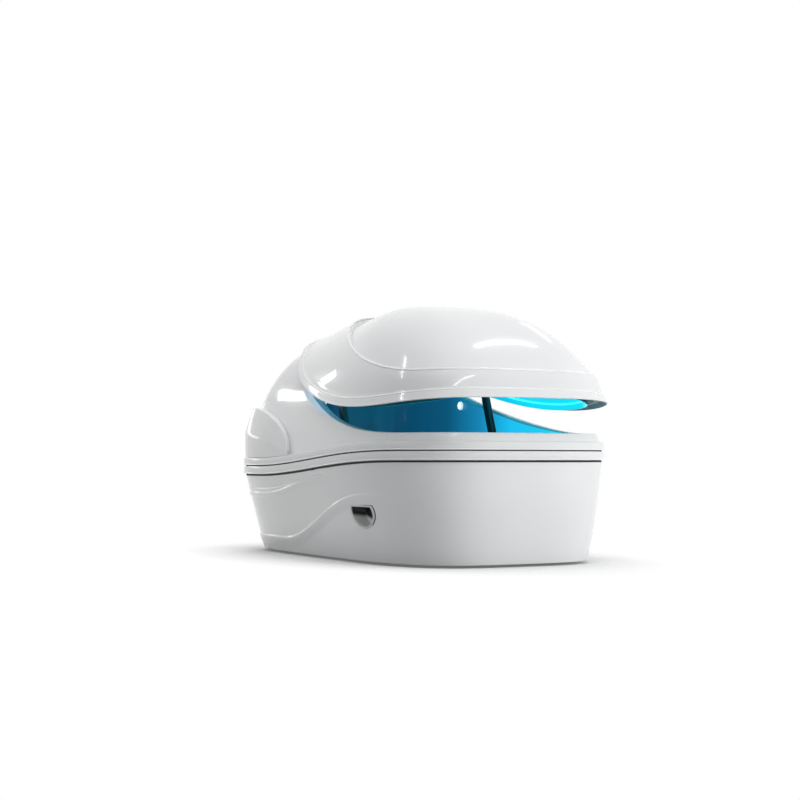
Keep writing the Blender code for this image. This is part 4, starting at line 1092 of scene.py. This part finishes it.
def tubRings(t):
    sill = sillLoop(t)
    top = sill + inwardNormals(sill) * tub["inset"]
    drop = tub["drop"] - tub["frontRise"] * smooth((sill[:, 0] - 0.2) / 0.6)
    top[:, 2] = np.minimum(sill[:, 2] + hood["sillRound"] - drop, tub["rearTop"])
    centre = np.array((tub["poleX"], 0.0, 0.0))
    flat = top * (1, 1, 0) - centre
    out = flat / np.linalg.norm(flat, axis=1, keepdims=True)
    high, wall = top[:, 2], tub["wall"]
    ring = lambda scale, extra, z: centre + flat * scale + out * extra + points(0, 0, z + 0 * high)
    bottom = [ring(s, 0.0, z) for s, z in ((0.82, tub["floor"]), (0.865, 0.206), (0.90, 0.235), (0.932, 0.28),
                                           (0.955, 0.34), (0.972, 0.42), (0.985, 0.50))]
    side = [ring(1.0 - 0.015 * w, 0.0, high * (1 - w) + 0.50 * w) for w in (0.75, 0.5, 0.25, 0.04)]
    inside = bottom + side + [ring(1.0, 0.002, high)]
    fall = tub["flangeAt"] - drop
    under = fall + tub["flangeThick"]
    outside = [ring(1.0, wall, high), ring(1.0, wall, high - fall)]
    outside += [ring(1.0, tub["flange"], high - fall), ring(1.0, tub["flange"], high - under)]
    outside += [ring(1.0, wall, high - under), ring(0.985, wall, 0.50), ring(0.955, wall, 0.34)]
    outside += [ring(0.90, wall, 0.231), ring(0.82, wall, tub["floor"] - wall)]
    return inside, outside


tubIn, tubOut = tubRings(roundStations(tub["stations"]))
tubEnds = [(tub["poleX"], 0, z) for z in (tub["floor"], tub["floor"] - tub["wall"])]
tubMarks = [1.0] * len(tubIn) + [0.0] * len(tubOut)
tubLiner = loft("tubLiner", tubIn + tubOut, angle=50, marks=tubMarks, poles=tubEnds)
dress(tubLiner, tubAcrylic, "base", ("tub_liner",))
print("tub and lining done")


# a bead along a path, by Geometry Nodes: a rounded bar swept along the curve
def newTree(name, inputs):
    tree = bpy.data.node_groups.new(name, "GeometryNodeTree")
    tree.interface.new_socket("Geometry", in_out="INPUT", socket_type="NodeSocketGeometry")
    for label, kind, value in inputs:
        socket = tree.interface.new_socket(label, in_out="INPUT", socket_type=kind)
        if value is not None:
            socket.default_value = value
    tree.interface.new_socket("Geometry", in_out="OUTPUT", socket_type="NodeSocketGeometry")
    return tree, tree.nodes.new("NodeGroupInput"), tree.nodes.new("NodeGroupOutput")


def closeTree(tree, geometry, entry, leave):
    shade = addNode(tree, "GeometryNodeSetShadeSmooth", (("Geometry", geometry),))
    real = addNode(tree, "GeometryNodeRealizeInstances", (("Geometry", shade.outputs["Geometry"]),))
    links = (("Geometry", real.outputs["Geometry"]), ("Material", entry.outputs["Finish"]))
    paint = addNode(tree, "GeometryNodeSetMaterial", links)
    tree.links.new(paint.outputs["Geometry"], leave.inputs["Geometry"])
    return tree


def beadTree():
    tree, entry, leave = newTree("beadAlong", [
        ("Width", "NodeSocketFloat", 0.01),
        ("Height", "NodeSocketFloat", 0.01),
        ("Corner", "NodeSocketFloat", 0.002),
        ("Finish", "NodeSocketMaterial", None),
    ])
    size = (("Width", entry.outputs["Width"]), ("Height", entry.outputs["Height"]))
    bar = addNode(tree, "GeometryNodeCurvePrimitiveQuadrilateral", size)
    cornered = (("Curve", bar.outputs["Curve"]), ("Radius", entry.outputs["Corner"]), ("Count", 3))
    soft = addNode(tree, "GeometryNodeFilletCurve", cornered, mode="POLY")
    level = addNode(tree, "GeometryNodeSetCurveNormal", (("Curve", entry.outputs["Geometry"]),), mode="Z_UP")
    sweep = (("Curve", level.outputs["Curve"]), ("Profile Curve", soft.outputs["Curve"]))
    swept = addNode(tree, "GeometryNodeCurveToMesh", sweep)
    return closeTree(tree, swept.outputs["Mesh"], entry, leave)


# one small piece repeated at marked places, each turned the way its place faces
def studTree():
    tree, entry, leave = newTree("studsAt", [
        ("Stud", "NodeSocketObject", None),
        ("Size", "NodeSocketFloat", 1.0),
        ("Finish", "NodeSocketMaterial", None),
    ])
    stud = addNode(tree, "GeometryNodeObjectInfo", (("Object", entry.outputs["Stud"]), ("As Instance", True)))
    facing = addNode(tree, "GeometryNodeInputNamedAttribute", (("Name", "facing"),), data_type="FLOAT_VECTOR")
    toward = (("Vector", facing.outputs["Attribute"]),)
    turn = addNode(tree, "FunctionNodeAlignRotationToVector", toward, axis="Z")
    placing = (("Points", entry.outputs["Geometry"]), ("Instance", stud.outputs["Geometry"]),
               ("Rotation", turn.outputs["Rotation"]), ("Scale", entry.outputs["Size"]))
    placed = addNode(tree, "GeometryNodeInstanceOnPoints", placing)
    return closeTree(tree, placed.outputs["Instances"], entry, leave)


beadAlong = beadTree()
studsAt = studTree()


def grow(obj, tree, values):
    modifier = obj.modifiers.new("grown", "NODES")
    modifier.node_group = tree
    for item in tree.interface.items_tree:
        if item.in_out == "INPUT" and item.name in values:
            modifier[item.identifier] = values[item.name]
    return plainMesh(obj)


def beaded(name, path, values):
    curve = bpy.data.curves.new(name, "CURVE")
    curve.dimensions = "3D"
    spline = curve.splines.new("POLY")
    spline.points.add(len(path) - 1)
    for point, p in zip(spline.points, path):
        point.co = (p[0] + form["centreX"], p[1], p[2], 1.0)
    spline.use_cyclic_u = True
    return grow(link(name, curve), beadAlong, values)


def studded(name, places, facing, stud, material):
    mesh = bpy.data.meshes.new(name)
    mesh.from_pydata([(p[0] + form["centreX"], p[1], p[2]) for p in places], [], [])
    layer = mesh.attributes.new("facing", "FLOAT_VECTOR", "POINT")
    layer.data.foreach_set("vector", np.asarray(facing, float).ravel())
    made = grow(link(name, mesh), studsAt, {"Stud": stud, "Size": 1.0, "Finish": material})
    bpy.data.objects.remove(stud, do_unlink=True)
    smoothen(made.data, 40)
    return made


# dark gasket between the rim bands, seal under the lid and light strip inside it
def gasketPath(t):
    x, y = planXY(t, 0.013)
    return points(x, y, form["groove"] + dip(planXY(t)[0]))


gasketSize = {"Width": 0.0032, "Height": 0.018, "Corner": 0.001, "Finish": rubberBlack}
gasket = beaded("rimGasket", gasketPath(shellStations), gasketSize)
dress(gasket, rubberBlack, "base", ("rim_gasket",))


# painted shadow: a black strip laid in the groove under the rim stands for the shadow line there
def rimShadowStripPath(t):
    rim = form["rimBottom"] + dip(planXY(t)[0])
    return skirtWall(t, rim - 0.0055, -0.0055)


rimShadowStripSize = {"Width": 0.0085, "Height": 0.009, "Corner": 0.001, "Finish": rubberBlack}
rimStrip = beaded("rimStrip", rimShadowStripPath(shellStations), rimShadowStripSize)
dress(rimStrip, rubberBlack, "base")
# beads on the lower edges of the rim bands, in the paler trim as painted highlight lines
edgeBeadSize = {"Width": 0.0065, "Height": 0.006, "Corner": 0.0028, "Finish": trimWhite}
for label, height in (("rimEdgeLow", form["rimBottom"] + 0.0042), ("rimEdgeHigh", form["groove"] + 0.0062)):
    path = points(*planXY(shellStations, 0.001), height + dip(planXY(shellStations)[0]))
    dress(beaded(label, path, edgeBeadSize), trimWhite, "base")


def panelLine(t):
    edge = lidEdge(t)
    q = towardPole(edge, shareAt(edge, panelHeight) * 0.997)
    proud = shoulderProud(q)
    sunk = np.array((0, 0, 0.0010))
    return swingAjar(onForm(q, lid["inset"] - proud, lid["rise"] + proud) - sunk)


# the bead along the panel's edge, in the paler trim as a painted highlight line
panelBeadSize = {"Width": 0.009, "Height": 0.009, "Corner": 0.0043, "Finish": trimWhite}
dress(beaded("panelBead", panelLine(shellStations), panelBeadSize), trimWhite, "lid")


def lipLine(t):
    edge = lidEdge(t)
    q = towardPole(edge, shareAt(edge, lambda x: lidEdgeHeight(x) + lid["lipHeight"]))
    proud = inwardNormals(edge) * (lid["lipProud"] - 0.0008)
    return swingAjar(onForm(q, lid["inset"], lid["rise"]) - proud)


# the bead along the lip, in the paler trim as a painted highlight line
lipBeadSize = {"Width": 0.005, "Height": 0.005, "Corner": 0.0023, "Finish": trimWhite}
dress(beaded("lipBead", lipLine(shellStations), lipBeadSize), trimWhite, "lid")


def sealPath(t):
    # set off square to the sill's slope, so that it lies on the sill when the lid is shut
    sill = sillLoop(t)
    along = np.roll(sill, -1, axis=0) - np.roll(sill, 1, axis=0)
    level = np.hypot(along[:, 0], along[:, 1]) / np.linalg.norm(along, axis=1)
    lift = points(0, 0, hood["sillRound"] + sealSeat["above"] / level)
    return swingAjar(sill + inwardNormals(sill) * sealSeat["inset"] + lift)


sealSeat = {"inset": 0.0165, "above": 0.0052}
sealSize = {"Width": 0.032, "Height": 0.0066, "Corner": 0.0020, "Finish": rubberGrey}
seal = beaded("lidSeal", sealPath(shellStations), sealSize)
dress(seal, rubberGrey, "lid", ("lid_seal",))


def stripPath(t):
    q, sill, hang = linerLoop(t)
    step = (lidPole - q) / np.linalg.norm(lidPole - q, axis=1, keepdims=True)
    roof = onForm(q, lid["inset"], lid["rise"])[:, 2] - liner["drop"] - 0.030
    near = 0.0125 + 0.0015 * hang
    return swingAjar(q + step * near[:, None] + points(0, 0, np.minimum(sill + 0.016, roof) - 0.002))


stripSize = {"Width": 0.011, "Height": 0.0068, "Corner": 0.002, "Finish": diffuser}
strip = beaded("lidLightStrip", stripPath(linerStations), stripSize)
dress(strip, diffuser, "lid", ("lid_light_strip",))
print("gasket, seal and light strip grown")

# flat black sleeves on the gas struts, open below for the rods
strutCover = {
    "start": 0.085,
    "end": 0.425,
    "fore": 0.0225,
    "side": 0.0150,
    "wall": 0.0012,
    "square": 0.42,
    "stations": 48,
}


def strutSleeve(label):
    joints = {j["name"]: j for j in frame["joints"]}
    pivot = np.array(joints["strut_swing_" + label]["pos_m"]) - np.array((form["centreX"], 0, 0))
    down = np.array(joints["strut_slide_" + label]["axis"])
    fore, side = np.array((-down[2], 0.0, down[0])), np.array((0.0, 1.0, 0.0))
    a = np.arange(strutCover["stations"]) * 2 * pi / strutCover["stations"]
    squared = lambda v: (np.sign(v) * np.abs(v) ** strutCover["square"])[:, None]
    begin, end, wall = strutCover["start"], strutCover["end"], strutCover["wall"]
    rings = []
    outside = ((begin, 0.4), (begin + 0.001, 0.0), (end - 0.001, 0.0), (end, 0.4))
    inside = ((end, 1.0), (begin, 1.0))
    for reach, thin in outside + inside:
        across = squared(np.cos(a)) * fore * (strutCover["fore"] - wall * thin)
        beside = squared(np.sin(a)) * side * (strutCover["side"] - wall * thin)
        rings.append(pivot + down * reach + across + beside)
    return loft("strutCover_" + label, rings, wrap=True)


for label in ("near", "far"):
    dress(strutSleeve(label), blackPaint, "cylinder_" + label)

# headrest cushion: the plain solid swelled soft
cushion = {"voxel": 0.006, "rounds": 16, "fill": 0.6}


def softened(name, node):
    bm = bmesh.new()
    bm.from_mesh(frame["nodes"][node].data)
    bmesh.ops.remove_doubles(bm, verts=bm.verts, dist=1e-5)
    bmesh.ops.recalc_face_normals(bm, faces=bm.faces)
    mesh = bpy.data.meshes.new(name)
    bm.to_mesh(mesh)
    bm.free()
    obj = link(name, mesh)
    remesh = obj.modifiers.new("remesh", "REMESH")
    remesh.mode = "VOXEL"
    remesh.voxel_size = cushion["voxel"]
    relax = obj.modifiers.new("relax", "SMOOTH")
    relax.factor = 0.5
    relax.iterations = cushion["rounds"]
    finer = obj.modifiers.new("finer", "SUBSURF")
    finer.levels = finer.render_levels = 1
    return plainMesh(obj)


headrest = softened("headrestCushion", "headrest")
smoothen(headrest.data, 60)
dress(headrest, vinyl, "base", ("headrest",))

# pan-head screws along the foot of the rear cover
screws = {
    "count": 7,
    "row": 3,
    "from": 0.30,
    "to": 0.70,
    "profile": ((0.0, 0.0006), (0.0022, 0.0006), (0.0025, 0.0022), (0.0042, 0.0020), (0.0052, 0.0010),
                (0.0054, -0.001)),
}
screwHead = turned("screwHead", screws["profile"], (-form["centreX"], 0, 0), (0, 0, 1), steps=20)
columns = np.linspace(screws["from"], screws["to"], screws["count"]) * (coverFront.shape[1] - 1)
columns = np.round(columns).astype(int)
acrossCover = coverFront[screws["row"], columns + 1] - coverFront[screws["row"], columns - 1]
upCover = coverFront[screws["row"] + 1, columns] - coverFront[screws["row"] - 1, columns]
screwFacing = np.cross(acrossCover, upCover)
screwFacing = screwFacing / np.linalg.norm(screwFacing, axis=1, keepdims=True)
coverScrews = studded("coverScrews", coverFront[screws["row"], columns], screwFacing, screwHead, steel)
dress(coverScrews, steel, "base")
print("strut covers, headrest and screws done")

# every CAD piece that keeps its shape gets its finish
kept = {
    "strut_cylinder_": blackPaint,
    "strut_rod_": chrome,
    "hinge_arm_": blackPaint,
    "hinge_bracket_": steel,
    "hinge_pin_": steel,
    "strut_upper_bracket_": steel,
    "strut_lower_bracket_": steel,
    "lamp_bezel_": lampPlastic,
    "lamp_lens_": lampGlow,
    "foot_": rubberBlack,
    "bed_support_": bedPlastic,
    "bed_panel": bedPlastic,
    "chassis_frame": framePaint,
    "steam_boiler": steel,
    "steam_pipe": steel,
    "steam_nozzle": steel,
    "water_tank": tankPlastic,
    "control_box": boxPlastic,
    "drain_fitting": boxPlastic,
}
for name, node in frame["nodes"].items():
    for start, material in kept.items():
        if name.startswith(start):
            node.data.materials.clear()
            node.data.materials.append(material)
print("finishes set on the frame's own pieces")

# floor, studio light and camera
view = {"azimuth": 60.54, "place": (7.35635, -4.20951, 0.48), "lens": 75.6, "shiftY": 0.0754}


def addCamera():
    data = bpy.data.cameras.new("camera")
    data.lens = view["lens"]
    data.shift_y = view["shiftY"]
    camera = link("camera", data)
    camera.location = view["place"]
    camera.rotation_euler = (pi / 2, 0.0, radians(view["azimuth"]))
    bpy.context.scene.camera = camera


addCamera()
studio = {
    "ambient": 0.16,
    "frontShade": 0.30,  # the room is dimmer behind the camera
    "frontWay": (0.87, -0.49, 0.0),
    "reflected": 0.45,
    "floorSize": 60.0,
    "floorTone": 0.45,
    "floorLift": 0.08,
    "shadowReach": (1.35, 0.80),
}


def rayKinds(tree):
    path = addNode(tree, "ShaderNodeLightPath")
    mirrored = compute(tree, "MAXIMUM", path.outputs["Is Glossy Ray"], path.outputs["Is Transmission Ray"])
    return path.outputs["Is Camera Ray"], mirrored


def paintWorld():
    world = bpy.data.worlds.new("studio")
    world.use_nodes = True
    tree = world.node_tree
    tree.nodes.clear()
    seen, mirrored = rayKinds(tree)
    way = addNode(tree, "ShaderNodeTexCoord").outputs["Generated"]
    facing = ((0, way), (1, studio["frontWay"]))
    toward = addNode(tree, "ShaderNodeVectorMath", facing, operation="DOT_PRODUCT")
    shade = remap(tree, toward.outputs["Value"], 0.10, 0.95, 1.0, 1.0 - studio["frontShade"], True)
    dim = remap(tree, toward.outputs["Value"], 0.45, 0.95, 1.0, studio["reflected"], True)
    level = compute(tree, "MULTIPLY", shade, studio["ambient"])
    soft = addNode(tree, "ShaderNodeBackground", (("Strength", level),))
    room = addNode(tree, "ShaderNodeBackground", (("Strength", dim),))
    white = addNode(tree, "ShaderNodeBackground", (("Strength", 1.0),))
    for node in (soft, room, white):
        node.inputs["Color"].default_value = (1, 1, 1, 1)
    inRoom = ((0, mirrored), (1, soft.outputs[0]), (2, room.outputs[0]))
    bounced = addNode(tree, "ShaderNodeMixShader", inRoom)
    mixed = addNode(tree, "ShaderNodeMixShader", ((0, seen), (1, bounced.outputs[0]), (2, white.outputs[0])))
    leave = addNode(tree, "ShaderNodeOutputWorld")
    tree.links.new(mixed.outputs[0], leave.inputs["Surface"])
    bpy.context.scene.world = world


def paintFloor():
    material, tree, shader = startMaterial("studioFloor")
    tree.nodes.remove(shader)
    leave = next(n for n in tree.nodes if n.type == "OUTPUT_MATERIAL")
    tone = studio["floorTone"]
    matt = addNode(tree, "ShaderNodeBsdfDiffuse", (("Color", (tone, tone, tone, 1)),))
    pale = addNode(tree, "ShaderNodeBsdfDiffuse", (("Color", (0.95, 0.95, 0.95, 1)),))
    lift = addNode(tree, "ShaderNodeEmission", (("Color", (1, 1, 1, 1)), ("Strength", studio["floorLift"])))
    shadowed = addNode(tree, "ShaderNodeAddShader", ((0, pale.outputs[0]), (1, lift.outputs[0])))
    white = addNode(tree, "ShaderNodeEmission", (("Color", (1, 1, 1, 1)), ("Strength", 1.0)))
    where = addNode(tree, "ShaderNodeTexCoord").outputs["Object"]
    reach = (1 / studio["shadowReach"][0], 1 / studio["shadowReach"][1], 0.0)
    flat = addNode(tree, "ShaderNodeVectorMath", ((0, where), (1, reach)), operation="MULTIPLY")
    away = addNode(tree, "ShaderNodeVectorMath", ((0, flat.outputs[0]),), operation="LENGTH")
    near = remap(tree, away.outputs["Value"], 0.82, 1.25, 0.95, 0.0)
    seen, mirrored = rayKinds(tree)
    shown = addNode(tree, "ShaderNodeMixShader", ((0, near), (1, white.outputs[0]), (2, shadowed.outputs[0])))
    either = compute(tree, "MAXIMUM", seen, mirrored)
    mixed = addNode(tree, "ShaderNodeMixShader", ((0, either), (1, matt.outputs[0]), (2, shown.outputs[0])))
    tree.links.new(mixed.outputs[0], leave.inputs["Surface"])
    half = studio["floorSize"] / 2
    mesh = bpy.data.meshes.new("studioFloor")
    corners = [(-half, -half, 0), (half, -half, 0), (half, half, 0), (-half, half, 0)]
    mesh.from_pydata(corners, [], [(0, 1, 2, 3)])
    mesh.materials.append(material)
    link("studioFloor", mesh)


def addLight(name, place, aim, size, power):
    data = bpy.data.lights.new(name, "AREA")
    data.shape = "RECTANGLE"
    data.size, data.size_y = size
    data.energy = power
    lamp = link(name, data)
    lamp.location = place
    lamp.rotation_euler = (Vector(aim) - Vector(place)).to_track_quat("-Z", "Y").to_euler()
    lamp.visible_camera = False
    return lamp


# big soft lamps give the level and never mirror; strip lamps only draw the streaks on the gloss
softLamps = {
    "keyRight": ((4.6, 1.1, 0.8), (0.3, 0.0, 0.5), (2.0, 1.6), 51.0),
    "keyFar": ((3.7, 3.3, 0.9), (0.3, 0.0, 0.5), (2.0, 1.6), 76.0),
    "fillLeft": ((-1.9, -2.5, 1.5), (-0.5, 0.0, 0.5), (1.2, 1.2), 4.0),
    "fillNear": ((0.6, -4.0, 0.9), (0.2, 0.0, 0.5), (1.6, 1.2), 19.0),
    "fillRear": ((-3.4, 2.2, 1.6), (-0.4, 0.0, 0.5), (1.8, 1.4), 45.0),
    "topSoft": ((0.3, -0.2, 4.5), (0.1, 0.0, 0.8), (3.0, 2.4), 75.0),
    "frontTop": ((2.4, -1.6, 3.85), (0.35, 0.0, 0.8), (1.6, 1.6), 24.0),
}
# from, to, what it faces, width, glare
stripLamps = {
    "stripBack": ((-0.55, -1.58, 3.38), (-0.10, -2.85, 2.50), (0.838, -0.507, 0.892), 0.14, 8.0),
    "stripFront": ((3.40, -0.95, 2.62), (2.70, 0.63, 3.20), (1.05, -0.32, 0.83), 0.12, 9.0),
    "stripTopA": ((0.465, 1.207, 3.605), (0.029, 1.627, 3.393), (0.908, -0.100, 1.010), 0.13, 7.0),
    "stripTopB": ((0.029, 1.627, 3.393), (0.175, 1.925, 3.308), (0.903, 0.078, 1.016), 0.13, 7.0),
    "stripFar": ((-0.49, 2.16, 2.66), (-1.39, 2.16, 2.54), (0.788, 0.241, 1.077), 0.15, 1.2),
    "windowRear": ((-3.28, -0.88, 1.70), (-3.32, -0.73, 1.79), (-0.473, -0.438, 0.813), 0.20, 3.4),
    "stripRear": ((-3.70, -1.25, 0.72), (-3.76, 0.0, 1.22), (-0.753, -0.516, 0.624), 0.20, 1.4),
}


def addStrip(name, start, end, aim, width, glare):
    start, end = Vector(start), Vector(end)
    middle = (start + end) / 2
    away = (middle - Vector(aim)).normalized()
    along = end - start
    along = (along - away * along.dot(away)).normalized()
    length = (end - start).length
    lamp = addLight(name, middle, aim, (length, width), glare * pi * length * width)
    lamp.rotation_euler = Matrix((along, away.cross(along), away)).transposed().to_euler()
    lamp.visible_diffuse = False


def addLamps():
    for name, (place, aim, size, power) in softLamps.items():
        addLight(name, place, aim, size, power).visible_glossy = False
    for name, values in stripLamps.items():
        addStrip(name, *values)


paintWorld()
paintFloor()
addLamps()
bpy.context.scene.view_settings.view_transform = "Standard"
print("stage lit")
